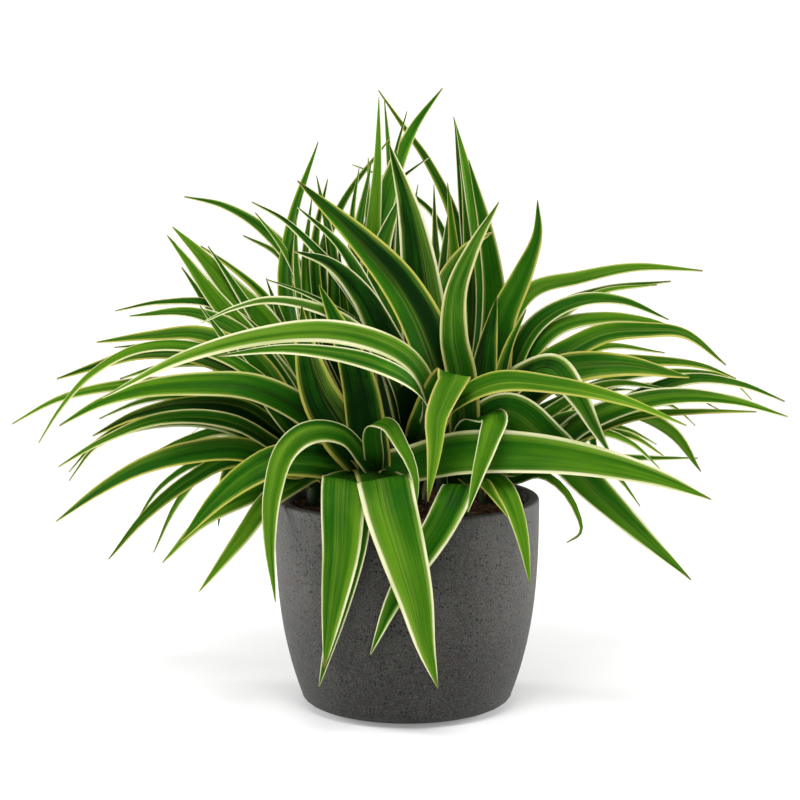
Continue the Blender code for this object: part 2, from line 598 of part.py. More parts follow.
class Bed:
    """What stands in the pot so far, so that each new leaf is bent clear of it."""

    def __init__(self, solids):
        graph = bpy.context.evaluated_depsgraph_get()
        self.common = [BVHTree.FromObject(solid, graph) for solid in solids]
        self.stems = {name: tree_of(stem_bmesh(crown)) for name, crown in CROWNS.items()}
        self.blades = {name: [] for name in CROWNS}

    def crossings(self, name, blade):
        """How many faces the grown blade crosses of other nodes, and of its own crown past the roots."""
        grown = tree_of(blade_mesh(blade, LEAF_CLEARANCE))
        outer = tree_of(blade_mesh(blade, LEAF_CLEARANCE, CLASPING_SHARE))
        obstacles = list(self.common)
        for other in CROWNS:
            if other != name:
                obstacles += [self.stems[other]] + self.blades[other]
        foreign = sum(len(grown.overlap(tree)) for tree in obstacles)
        own = sum(len(outer.overlap(tree)) for tree in self.blades[name])
        return foreign, own

    def place(self, name, tries):
        """The try that is clear of the other nodes, crosses its own crown little, and comes early."""
        best = None
        for i, blade in enumerate(tries):
            foreign, own = self.crossings(name, blade)
            cost = own + LATE_COST * i
            if foreign == 0 and (best is None or cost < best[0]):
                best = cost, blade
            if best and best[0] <= LATE_COST * (i + 1):
                break
        if best is None:
            raise ValueError(f"leaf {len(self.blades[name])} of {name} finds no clear place")
        self.blades[name].append(tree_of(blade_mesh(best[1])))
        return best[1]


def stem_bmesh(crown):
    """The short stem of a crown, from its hole in the soil up to where the leaves part."""
    bm = bmesh.new()
    low = SOIL_LEVEL - STEM_DEPTH
    for radii, bottom, top in (
        ((STEM_RADIUS, STEM_RADIUS), low, SOIL_LEVEL),
        ((STEM_RADIUS, STEM_TOP_RADIUS), SOIL_LEVEL, SOIL_LEVEL + STEM_RISE),
    ):
        bmesh.ops.create_cone(
            bm,
            cap_ends=True,
            segments=STEM_SIDES,
            radius1=radii[0],
            radius2=radii[1],
            depth=top - bottom,
            matrix=Matrix.Translation((crown.x * MM, crown.y * MM, (bottom + top) / 2)),
        )
    inner = [face for face in bm.faces if abs(face.calc_center_median().z - SOIL_LEVEL) < MERGE]
    bmesh.ops.delete(bm, geom=inner, context="FACES_ONLY")
    bmesh.ops.remove_doubles(bm, verts=bm.verts, dist=MERGE)
    bmesh.ops.triangulate(bm, faces=bm.faces)
    return bm


def mesh_of(bm, name):
    mesh = bpy.data.meshes.new(name)
    bm.to_mesh(mesh)
    bm.free()
    return mesh


def islands(bm):
    """The mesh's faces, as a list for each shell that hangs together."""
    unseen = set(bm.faces)
    while unseen:
        shell = []
        edge_of_shell = [unseen.pop()]
        while edge_of_shell:
            face = edge_of_shell.pop()
            shell.append(face)
            near = {other for edge in face.edges for other in edge.link_faces} & unseen
            unseen -= near
            edge_of_shell += near
        yield shell


def signed_volume(faces):
    total = 0.0
    for face in faces:
        first, *rest = [vertex.co for vertex in face.verts]
        total += sum(first.dot(a.cross(b)) for a, b in zip(rest, rest[1:])) / 6
    return total


def keep_outer_shell(mesh):
    """Fills the small hollows that fusing sealed, and drops loose scraps."""
    bm = bmesh.new()
    bm.from_mesh(mesh)
    shells = sorted(islands(bm), key=signed_volume)
    extra = [face for shell in shells[:-1] for face in shell]
    bmesh.ops.delete(bm, geom=extra, context="FACES")
    bm.to_mesh(mesh)
    bm.free()


def fuse_crown(name, crown, blades, collection, material):
    """One solid of the crown's stem and all its leaves."""
    leaves = new_collection(name + " leaves", is_helper=True)
    for i, blade in enumerate(blades):
        new_object(f"{name}_leaf_{i:02d}", mesh_of(blade_mesh(blade), name), leaves)
    body = new_object(name, mesh_of(stem_bmesh(crown), name), collection, material)
    union = body.modifiers.new("leaves", "BOOLEAN")
    union.operation = "UNION"
    union.solver = "MANIFOLD"
    union.operand_type = "COLLECTION"
    union.collection = leaves
    fused = frozen_mesh(body)
    keep_outer_shell(fused)
    body.modifiers.clear()
    body.data = fused
    for leaf in list(leaves.objects):
        bpy.data.objects.remove(leaf, do_unlink=True)
    bpy.data.collections.remove(leaves)
    smooth(fused)


def make_crowns(collection, obstacles, material):
    bed = Bed(obstacles)
    placed = {name: [] for name in CROWNS}
    for name, crown in CROWNS.items():
        for leaf in crown.leaves:
            rank = len(placed[name])
            tries = (set_out_blade(crown, rank, leaf, shift) for shift in SHIFTS)
            placed[name].append(bed.place(name, tries))
    draw = random.Random(SEED)
    for name, crown in CROWNS.items():
        for arch in arches(crown, draw):
            rank = len(placed[name])
            tries = (arched_blade(crown, rank, arch, swing, lift) for lift in LIFTS for swing in SWINGS)
            placed[name].append(bed.place(name, tries))
    for name, crown in CROWNS.items():
        fuse_crown(name, crown, placed[name], collection, material)


def main():
    clear_scene()
    plant = new_collection("potted_spider_plant")
    cutters = new_collection("cutters", is_helper=True)
    pot = make_pot(plant, new_material("fibre_clay", FIBRE_CLAY, 0.85))
    soil = make_soil(plant, cutters, new_material("coir_soil", COIR, 0.95))
    make_crowns(plant, [pot, soil], new_material("leaf", GREEN, 0.45))


main()
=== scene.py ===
"""The looks of a potted spider plant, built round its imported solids.

The pot, the soil and the seven crowns of leaves are rebuilt with finer meshes in the same places as their
solids. Leaves are tabled in millimetres, and all that is built is in metres, with Z up and the front of
the plant towards -Y.
"""

import logging
import math
import random
from collections.abc import Callable, Iterable, Iterator, Sequence
from dataclasses import dataclass, field
from enum import Enum

import bmesh
import bpy
import numpy as np
from mathutils import Matrix, Vector, noise
from mathutils.bvhtree import BVHTree
from mathutils.geometry import interpolate_bezier


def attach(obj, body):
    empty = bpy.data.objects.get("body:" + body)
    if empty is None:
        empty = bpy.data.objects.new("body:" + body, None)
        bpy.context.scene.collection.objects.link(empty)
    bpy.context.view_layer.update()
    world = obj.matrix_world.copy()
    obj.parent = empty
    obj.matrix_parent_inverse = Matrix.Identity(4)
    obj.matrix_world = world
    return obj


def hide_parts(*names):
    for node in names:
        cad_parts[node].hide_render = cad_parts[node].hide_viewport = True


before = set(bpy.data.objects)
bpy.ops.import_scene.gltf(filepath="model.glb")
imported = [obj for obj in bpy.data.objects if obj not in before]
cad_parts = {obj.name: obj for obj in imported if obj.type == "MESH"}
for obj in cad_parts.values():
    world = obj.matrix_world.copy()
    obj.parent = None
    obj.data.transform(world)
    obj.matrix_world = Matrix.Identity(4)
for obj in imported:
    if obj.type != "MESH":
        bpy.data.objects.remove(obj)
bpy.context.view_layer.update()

logging.basicConfig(level=logging.INFO, format="%(message)s")
log = logging.getLogger("spider_plant")

MM = 0.001
BODY = "root"
GOLDEN = 0.618034
# The sizes and angles that the fanned leaves are drawn between, in mm and degrees
FAN_WIDTHS = (9, 21)
FAN_LENGTHS = (135, 205)
FAN_RISES = (50, 82)
FAN_DROOPS = (20, 70)
FAN_SWAY = 14
FAN_TWIST = 25
SEED = 20
LOOKS_SEED = 7
STANDPOINT = Vector((-4, -1500, 397)) * MM

Colour = tuple[float, float, float, float]
Point2 = tuple[float, float]


class Tone(Enum):
    """What a leaf's margins look like: a white one's are cream and broad."""

    CREAM = "C"
    GOLD = "G"
    BETWEEN = "B"
    WHITE = "W"

    @property
    def gold(self) -> float:
        """How golden the margins are, from 0 to 1."""
        return {Tone.CREAM: 0.02, Tone.WHITE: 0.0, Tone.BETWEEN: 0.45, Tone.GOLD: 0.95}[self]


class Shade(Enum):
    """How light a leaf's green is."""

    DEEP = "D"
    MID = "M"
    FRESH = "F"

    @property
    def light(self) -> float:
        """How light the field is, from 0 to 1."""
        return {Shade.DEEP: 0.12, Shade.MID: 0.36, Shade.FRESH: 0.69}[self]


@dataclass(frozen=True)
class Leaf:
    """A leaf set out from the standpoint.

    Each point of its path is (across, up, toward): where it is seen against the upright plane through the
    pot's axis, and how far it stands in front of that plane, in mm. The width is the one that is seen, in
    mm, and the turn is the angle in degrees by which its face looks away from the standpoint.
    """

    width: float
    turn: float
    path: tuple[tuple[float, float, float], ...]


FRONT_LEFT = (
    # Three blades hang over the rim
    Leaf(30, 0, ((-14, 131, 56), (-13, 131, 73), (-9, 113, 89), (-2, 88, 94), (5, 62, 95), (11, 33, 94),
                 (18, 9, 91))),
    Leaf(25, 0, ((-35, 130, 56), (-36, 130, 72), (-37, 112, 87), (-38, 90, 91), (-42, 62, 91),
                 (-48, 21, 88))),
    Leaf(17, 10, ((-27, 125, 52), (-27, 126, 67), (-29, 112, 79), (-31, 94, 82), (-38, 62, 82),
                  (-51, 10, 78))),
    # Two arch over and fall
    Leaf(14, 15, ((-24, 143, 44), (-38, 158, 54), (-56, 159, 62), (-69, 149, 66), (-77, 125, 68),
                  (-79, 97, 68), (-76, 60, 66))),
    Leaf(11, 10, ((-19, 146, 46), (-20, 159, 52), (-17, 165, 60), (-10, 163, 66), (-4, 153, 70),
                  (1, 144, 73), (5, 131, 77), (5, 115, 82))),
    # A broad one reaches to the right, one falls to the left, two rise, and one arches far to the left
    Leaf(24, 12, ((4, 141, 40), (32, 147, 50), (72, 147, 56), (108, 142, 56), (143, 133, 52),
                  (175, 120, 46))),
    Leaf(20, 20, ((-37, 140, 32), (-56, 143, 38), (-76, 142, 43), (-92, 134, 46), (-108, 121, 47),
                  (-130, 96, 46))),
    Leaf(26, 10, ((-38, 160, 36), (-50, 180, 40), (-57, 203, 40), (-60, 232, 34))),
    Leaf(22, 5, ((-23, 160, 38), (-27, 185, 42), (-34, 208, 42), (-50, 244, 34))),
    Leaf(16, 20, ((-60, 172, 28), (-88, 185, 32), (-118, 187, 32), (-150, 184, 28), (-176, 176, 24),
                  (-199, 163, 20))),
)
FRONT_RIGHT = (
    Leaf(17, 10, ((35, 158, 36), (43, 168, 46), (50, 168, 58), (47, 155, 70), (41, 135, 76),
                  (35, 113, 80))),
    Leaf(18, 10, ((30, 123, 48), (30, 128, 68), (25, 117, 81), (18, 103, 84), (5, 82, 84), (-8, 60, 83),
                  (-21, 29, 80))),
    Leaf(12, 10, ((42, 134, 40), (51, 131, 48), (58, 123, 57), (63, 111, 61), (67, 96, 60),
                  (71, 71, 56))),
    Leaf(9, 10, ((38, 130, 46), (44, 130, 57), (51, 121, 68), (58, 110, 76))),
    Leaf(22, 10, ((36, 155, 30), (56, 171, 42), (82, 153, 48), (107, 127, 48), (133, 102, 44),
                  (164, 73, 38))),
    Leaf(18, 10, ((33, 165, 25), (31, 194, 22), (27, 214, 20), (28, 240, 18), (37, 264, 16),
                  (52, 291, 14))),
)
CENTRE = (
    Leaf(27, 22, ((21, 180, 22), (12, 213, 34), (-3, 242, 40), (-25, 268, 42), (-62, 303, 38))),
    Leaf(14, 35, ((14, 172, 30), (4, 198, 46), (-14, 210, 54), (-45, 217, 62), (-85, 214, 66),
                  (-128, 202, 64), (-174, 179, 56))),
    Leaf(12, 35, ((12, 165, 34), (4, 186, 50), (-14, 197, 56), (-40, 204, 58), (-72, 207, 60),
                  (-108, 203, 58))),
    Leaf(21, 18, ((12, 165, 35), (22, 187, 48), (27, 192, 57), (22, 181, 68), (17, 168, 74),
                  (16, 150, 79), (12, 119, 82))),
    Leaf(13, 40, ((15, 160, 33), (30, 178, 52), (52, 188, 60), (85, 186, 64), (122, 178, 60),
                  (160, 163, 50))),
    Leaf(28, -18, ((11, 200, 4), (9, 240, 2), (2, 284, 0), (-10, 324, -2))),
    Leaf(21, 24, ((-2, 185, 24), (-14, 215, 30), (-26, 238, 32), (-44, 256, 30), (-64, 263, 26))),
    Leaf(21, -22, ((14, 190, 14), (17, 225, 18), (24, 250, 18), (34, 265, 16), (48, 274, 12))),
    Leaf(11, 30, ((-6, 200, 14), (-20, 235, 16), (-38, 266, 16), (-62, 288, 14))),
    Leaf(9, 28, ((-10, 200, 8), (-32, 240, 8), (-52, 264, 6), (-70, 281, 4), (-88, 291, 0))),
    Leaf(8, 40, ((-8, 190, 18), (-32, 221, 24), (-56, 232, 28), (-80, 235, 28), (-100, 230, 26),
                 (-117, 222, 22))),
    Leaf(22, -28, ((-12, 215, 0), (-16, 258, -4), (-3, 297, -6))),
    Leaf(5, 30, ((-10, 205, -10), (-34, 226, -10), (-58, 239, -12), (-80, 247, -14))),
)
RIGHT = (
    Leaf(22, 20, ((52, 165, 5), (62, 188, 30), (82, 197, 46), (97, 181, 52), (107, 163, 53),
                  (117, 146, 50))),
    Leaf(22, 15, ((62, 175, 8), (88, 194, 20), (120, 198, 26), (161, 191, 22))),
    Leaf(20, 25, ((50, 180, -2), (54, 222, 0), (66, 250, 0), (74, 272, -2), (74, 292, -4))),
    Leaf(20, -26, ((42, 175, 8), (45, 205, 12), (51, 237, 12))),
    Leaf(10, 28, ((52, 182, 16), (58, 208, 22), (68, 230, 24))),
    Leaf(14, 15, ((58, 170, 2), (76, 196, 10), (95, 208, 10), (112, 216, 6), (135, 218, 0),
                  (158, 216, -6), (182, 198, -12))),
    Leaf(10, 20, ((78, 140, -12), (108, 164, -20), (135, 181, -22), (162, 190, -22), (190, 187, -20),
                  (216, 177, -18))),
    Leaf(13, 40, ((75, 145, 0), (102, 165, -4), (130, 176, -6), (158, 180, -8), (188, 177, -8),
                  (218, 168, -8))),
    Leaf(11, 25, ((60, 185, -12), (84, 218, -22), (112, 225, -26), (138, 223, -26), (160, 216, -24))),
    Leaf(12, 25, ((58, 190, -14), (74, 222, -28), (98, 235, -34), (122, 235, -36), (149, 224, -36))),
    Leaf(5, 20, ((62, 131, -8), (76, 135, -4), (89, 127, 0), (98, 112, 2), (100, 101, 2), (92, 95, 2))),
    Leaf(5, 30, ((90, 150, -30), (125, 172, -40), (150, 175, -42), (165, 163, -42))),
)
LEFT = (
    Leaf(21, 5, ((-62, 185, -14), (-82, 222, -20), (-104, 246, -24), (-118, 262, -26),
                 (-133, 277, -28))),
    Leaf(16, 5, ((-66, 180, -6), (-92, 215, -10), (-112, 240, -12), (-125, 258, -12),
                 (-136, 272, -12))),
    Leaf(14, 35, ((-66, 138, 14), (-95, 149, 18), (-125, 147, 18), (-152, 139, 14), (-176, 126, 10),
                  (-202, 107, 6))),
    Leaf(12, 10, ((-66, 129, 20), (-80, 119, 28), (-94, 100, 30), (-107, 83, 28), (-120, 66, 24))),
    Leaf(13, 20, ((-64, 162, 10), (-92, 192, 12), (-125, 205, 12), (-152, 205, 10), (-176, 198, 8),
                  (-200, 190, 6))),
    Leaf(7, 20, ((-66, 172, 20), (-110, 205, 24), (-150, 208, 22), (-180, 193, 18), (-199, 172, 14),
                 (-211, 153, 12))),
    Leaf(12, 30, ((-68, 180, 0), (-95, 216, -4), (-122, 228, -6), (-158, 226, -8))),
    Leaf(12, 25, ((-66, 170, 6), (-90, 204, 4), (-118, 216, 2), (-145, 215, 0), (-177, 211, -2))),
    Leaf(8, 30, ((-66, 172, -18), (-95, 203, -24), (-130, 210, -28), (-167, 208, -30))),
    Leaf(9, 30, ((-66, 158, -8), (-100, 181, -14), (-140, 187, -18), (-172, 185, -20), (-200, 178, -22),
                 (-226, 164, -24))),
    Leaf(12, 30, ((-66, 152, -2), (-95, 172, -2), (-125, 175, -4), (-155, 169, -6), (-180, 157, -8))),
    Leaf(9, 30, ((-66, 146, 6), (-100, 165, 8), (-140, 167, 8), (-175, 154, 6), (-200, 139, 4))),
    Leaf(7, 20, ((-68, 146, -16), (-110, 164, -22), (-150, 163, -24), (-177, 152, -26),
                 (-194, 131, -28))),
    Leaf(8, 30, ((-70, 142, -28), (-100, 160, -40), (-125, 155, -46), (-156, 141, -50))),
    Leaf(6, 20, ((-75, 136, -36), (-115, 143, -52), (-141, 128, -58), (-157, 105, -60))),
    Leaf(10, 20, ((-72, 138, -6), (-98, 144, -8), (-125, 131, -10), (-150, 111, -12), (-172, 85, -14))),
    Leaf(6, 20, ((-74, 134, -20), (-108, 142, -30), (-130, 121, -34), (-146, 89, -36))),
    Leaf(10, 15, ((-74, 128, 2), (-95, 120, 6), (-118, 107, 6), (-141, 83, 4))),
    Leaf(11, 10, ((-70, 175, -24), (-96, 210, -34), (-113, 232, -38), (-128, 254, -42))),
    Leaf(9, 40, ((-66, 190, -32), (-90, 226, -40), (-112, 235, -44), (-131, 234, -46))),
    Leaf(9, 30, ((-70, 165, 30), (-88, 190, 36), (-103, 211, 38), (-118, 232, 38))),
)
BACK_LEFT = (
    Leaf(18, 35, ((-20, 230, -36), (-16, 275, -36), (-8, 305, -36), (4, 333, -36), (20, 355, -38))),
    Leaf(12, -30, ((-22, 220, -30), (-20, 270, -30), (-17, 310, -28), (-16, 350, -28))),
    Leaf(9, 38, ((-12, 240, -44), (-9, 290, -44), (-11, 325, -44), (-13, 349, -44))),
    Leaf(6, 30, ((-30, 230, -50), (-24, 275, -52), (-8, 300, -54), (12, 316, -56))),
    Leaf(8, -35, ((-46, 220, -46), (-48, 262, -48), (-36, 292, -48), (-10, 327, -48))),
    Leaf(12, 30, ((-30, 220, -24), (-29, 265, -24), (-20, 314, -24))),
    Leaf(11, 32, ((-60, 200, -40), (-69, 245, -44), (-65, 280, -44), (-50, 325, -42))),
    Leaf(11, -34, ((-40, 215, -34), (-42, 262, -36), (-51, 306, -36))),
    Leaf(9, 30, ((-54, 215, -30), (-58, 258, -30), (-54, 294, -30))),
    Leaf(12, 25, ((-52, 215, -50), (-64, 255, -56), (-82, 276, -60), (-104, 289, -62),
                  (-126, 294, -64))),
    Leaf(10, 28, ((-54, 205, -40), (-62, 240, -44), (-73, 261, -46), (-93, 272, -48))),
    Leaf(8, 24, ((-58, 200, -56), (-82, 238, -66), (-100, 254, -70), (-117, 266, -74))),
    Leaf(9, -30, ((-64, 200, -22), (-72, 225, -24), (-80, 248, -26))),
)
BACK_RIGHT = (
    Leaf(18, 34, ((40, 220, -40), (38, 262, -40), (34, 302, -40), (26, 339, -42))),
    Leaf(17, -30, ((48, 200, -30), (50, 240, -32), (45, 275, -34), (35, 315, -36))),
    Leaf(9, -28, ((34, 240, -52), (27, 282, -54), (12, 314, -54), (-2, 334, -54), (-16, 354, -54))),
    Leaf(6, 30, ((26, 245, -60), (16, 282, -62), (-2, 298, -64), (-16, 306, -64), (-31, 312, -64))),
    Leaf(9, 35, ((20, 220, -44), (16, 262, -46), (15, 301, -46))),
    Leaf(12, -30, ((30, 220, -36), (27, 262, -34), (23, 302, -34))),
    Leaf(8, 32, ((6, 240, -48), (2, 275, -50), (6, 301, -50))),
    Leaf(11, 25, ((50, 205, -56), (70, 240, -64), (98, 248, -68), (130, 254, -70), (168, 252, -72))),
    Leaf(9, 25, ((54, 200, -60), (80, 228, -72), (112, 241, -78), (150, 246, -80))),
    Leaf(10, 30, ((70, 180, -50), (108, 198, -60), (148, 200, -64), (170, 197, -64), (188, 190, -64))),
    Leaf(8, 30, ((75, 185, -70), (110, 208, -86), (147, 205, -92))),
    Leaf(6, 30, ((72, 170, -60), (120, 190, -76), (165, 194, -84), (184, 190, -86), (197, 178, -86))),
    Leaf(8, 40, ((75, 140, -66), (108, 162, -84), (125, 161, -90), (143, 152, -94))),
    Leaf(8, 40, ((70, 135, -60), (105, 158, -76), (128, 157, -82), (149, 144, -86))),
    Leaf(7, 30, ((64, 136, -46), (92, 141, -64), (120, 144, -76), (145, 144, -84), (167, 144, -88))),
)
SLIM = {
    "centre": (
        Leaf(8, 20, ((-30, 190, -12), (-36, 232, -16), (-39, 268, -18))),
        Leaf(9, 24, ((-6, 205, -20), (-5, 250, -22), (-5, 292, -24))),
        Leaf(8, 10, ((-4, 138, -2), (-10, 154, -2), (-16, 178, -4))),
    ),
    "right": (
        Leaf(7, 30, ((78, 168, -14), (115, 187, -18), (150, 184, -22))),
        Leaf(6, 30, ((82, 150, -14), (130, 168, -18), (165, 171, -20), (200, 171, -22))),
    ),
    "left": (
        Leaf(9, 20, ((-72, 200, -20), (-98, 243, -22), (-113, 266, -24))),
        Leaf(7, 30, ((-76, 205, -10), (-108, 232, -14), (-140, 234, -16), (-166, 229, -18))),
        Leaf(7, 30, ((-76, 182, -12), (-108, 198, -16), (-136, 198, -18), (-164, 190, -20))),
        Leaf(7, 30, ((-76, 160, -6), (-128, 180, -10), (-152, 177, -12), (-176, 167, -14))),
        Leaf(6, 30, ((-90, 160, -10), (-148, 168, -14), (-176, 155, -16), (-194, 136, -18))),
    ),
    "back_left": (
        Leaf(10, 24, ((-44, 200, -34), (-52, 240, -38), (-52, 272, -40), (-45, 304, -42))),
        Leaf(9, -24, ((-52, 205, -30), (-62, 248, -34), (-63, 284, -36))),
        Leaf(9, 20, ((-18, 225, -34), (-22, 280, -36), (-22, 316, -38))),
        Leaf(9, 30, ((-28, 230, -40), (-31, 280, -42), (-27, 310, -44))),
        Leaf(7, 20, ((-10, 260, -44), (-7, 315, -46), (0, 342, -46))),
        Leaf(8, 20, ((-54, 230, -40), (-70, 264, -44), (-86, 285, -46))),
    ),
    "back_right": (
        Leaf(9, 20, ((18, 205, -30), (20, 250, -32), (25, 294, -34))),
        Leaf(9, -20, ((36, 240, -36), (31, 295, -38), (27, 336, -38))),
        Leaf(7, 24, ((76, 215, -40), (108, 239, -44), (142, 244, -46))),
        Leaf(8, 30, ((72, 150, -50), (106, 160, -56), (128, 153, -58), (145, 138, -60))),
        Leaf(7, 30, ((70, 146, -30), (98, 148, -36), (120, 134, -38), (134, 116, -40))),
    ),
}


@dataclass(frozen=True)
class Plantlet:
    """A crown of leaves: where it stands in mm, its leaves, and how its other leaves fan out.

    The tones and the shades hold a letter for each tabled leaf, and the fan's heading and spread are in
    degrees.
    """

    name: str
    x: float
    y: float
    leaves: tuple[Leaf, ...]
    tones: str
    shades: str
    fan_count: int
    fan_heading: float
    fan_spread: float

    @property
    def node(self) -> str:
        """The name of the crown's solid."""
        return "crown_" + self.name

    @property
    def foot(self) -> Vector:
        """Where the crown stands, at height zero."""
        return Vector((self.x, self.y, 0)) * MM


PLANTLETS = (
    Plantlet("front_left", -18, -32, FRONT_LEFT, "CCCCCCGGGB", "FFMFFFMDDM", 0, 0, 0),
    Plantlet("front_right", 28, -32, FRONT_RIGHT, "CCBGCB", "FMFFMM", 0, 0, 0),
    Plantlet("centre", 4, 2, CENTRE, "GWCGGCCGCCWCC", "DFMFFDDMDDMMD", 3, 90, 70),
    Plantlet("right", 49, 6, RIGHT, "CGGGGGCCCCBC", "MMMDDMMMFMFM", 3, 72, 25),
    Plantlet("left", -50, 4, LEFT, "CCGBGBCGCBGBCBCGCBCCC", "FFDFDFMMMFDMMMMMFFMMM", 3, 112, 25),
    Plantlet("back_left", -27, 41, BACK_LEFT, "BCGCBBGBCBBGB", "MFMDMMMDMMMMD", 7, 98, 50),
    Plantlet("back_right", 25, 42, BACK_RIGHT, "BBGCBGCBBGBCBGC", "MMMDDMDFMMMMMMM", 6, 82, 50),
)


def lerp(low: float, high: float, share: float) -> float:
    """The value a share of the way from low to high."""
    return low + (high - low) * share


def on_sight_line(across: float, up: float, toward: float) -> Vector:
    """A point seen at (across, up) on the upright plane through the pot's axis.

    Args:
        across: Where it is seen to the right of the axis, in mm.
        up: How high it is seen, in mm.
        toward: How far it stands in front of the plane, in mm.

    Returns:
        The point, in metres.
    """
    on_plane = Vector((across, 0, up)) * MM
    return STANDPOINT + (on_plane - STANDPOINT) * (1 + toward * MM / STANDPOINT.y)


@dataclass
class Midrib:
    """The smooth curve that a leaf follows, through a few points."""

    points: list[Vector]
    bend_weight: float = 0.22

    def smooth(self, steps: int) -> list[Vector]:
        """Many points on one smooth curve through the midrib's points.

        Args:
            steps: How many to put between two of them.

        Returns:
            The curve's points.
        """
        spans = [after - before for before, after in zip(self.points, self.points[1:])]
        headings = [span.normalized() for span in spans]
        pairs = zip([headings[0]] + headings, headings + [headings[-1]])
        tangents = [(before + after).normalized() for before, after in pairs]
        curve = [self.points[0]]
        for i, span in enumerate(spans):
            reach = span.length / 3
            start, end = self.points[i], self.points[i + 1]
            handles = start + tangents[i] * reach, end - tangents[i + 1] * reach
            curve += interpolate_bezier(start, *handles, end, steps + 1)[1:]
        return curve

    def stations(self, count: int, steps: int) -> tuple[list[Vector], list[float]]:
        """Points along the curve, closer together where it bends.

        Args:
            count: How many stretches to divide it in.
            steps: How finely the curve is worked out between two of the midrib's points.

        Returns:
            The stations, and each one's share of the length.
        """
        curve = self.smooth(steps)
        total = sum((b - a).length for a, b in zip(curve, curve[1:]))
        lengths = [0.0]
        measure = [0.0]
        for i in range(1, len(curve)):
            step = curve[i] - curve[i - 1]
            turn = step.angle(curve[i + 1] - curve[i], 0) if i + 1 < len(curve) else 0
            lengths.append(lengths[-1] + step.length / total)
            measure.append(measure[-1] + step.length / total + self.bend_weight * turn)
        wanted = np.linspace(0, measure[-1], count + 1)
        axes = [np.interp(wanted, measure, [point[axis] for point in curve]) for axis in range(3)]
        shares = np.interp(wanted, measure, lengths)
        return [Vector(point) for point in zip(*axes)], [float(share) for share in shares]


@dataclass
class Blade:
    """A leaf's blade: its width in metres, its midrib, and which way its side looks at a place."""

    width: float
    midrib: Midrib
    side_at: Callable[[Vector, Vector], Vector]
    narrow: float = 17 * MM
    side_memory: float = 0.4
    coarse_steps: int = 8
    fine_steps: int = 16
    widest_at: float = 0.34
    base_share: float = 0.40
    tip_width: float = 0.5 * MM
    taper: float = 1.8

    def coarse(self) -> tuple[list[Vector], list[float], list[Vector]]:
        """The few stations that the leaf's solid has, their shares of the length, and their sides."""
        count = 6 if self.width > self.narrow else 5
        places, shares = self.midrib.stations(count, self.coarse_steps)
        sides: list[Vector] = []
        outer = Vector()
        for i in reversed(range(count + 1)):
            heading = (places[min(i + 1, count)] - places[max(i - 1, 0)]).normalized()
            side = self.side_at(heading, places[i])
            side = (-side if side.dot(outer) < 0 else side) + outer * self.side_memory
            outer = (side - side.project(heading)).normalized()
            sides.insert(0, outer)
        return places, shares, sides

    def fine(self, count: int) -> tuple[list[Vector], list[float], list[Vector], list[Vector]]:
        """Closer stations on the same midrib.

        Args:
            count: How many stretches to divide it in.

        Returns:
            The stations, their shares of the length, their sides, and the ways their upper faces look.
        """
        _, few_shares, few_sides = self.coarse()
        places, shares = self.midrib.stations(count, self.fine_steps)
        axes = [np.interp(shares, few_shares, [side[axis] for side in few_sides]) for axis in range(3)]
        for _ in range(3):
            axes = [np.convolve(np.pad(axis, 1, "edge"), (0.25, 0.5, 0.25), "valid") for axis in axes]
        sides = []
        faces = []
        for i, raw in enumerate(zip(*axes)):
            heading = (places[min(i + 1, count)] - places[max(i - 1, 0)]).normalized()
            side = Vector(raw)
            side = (side - side.project(heading)).normalized()
            sides.append(side)
            faces.append(side.cross(heading))
        return places, shares, sides, faces

    def width_at(self, share: float) -> float:
        """The blade's width there: narrow at the root, full before the middle, and long in the tip."""
        if share < self.widest_at:
            rise = math.sin(math.pi / 2 * share / self.widest_at)
            return self.width * lerp(self.base_share, 1, rise)
        fall = (share - self.widest_at) / (1 - self.widest_at)
        return lerp(self.width, self.tip_width, fall**self.taper)


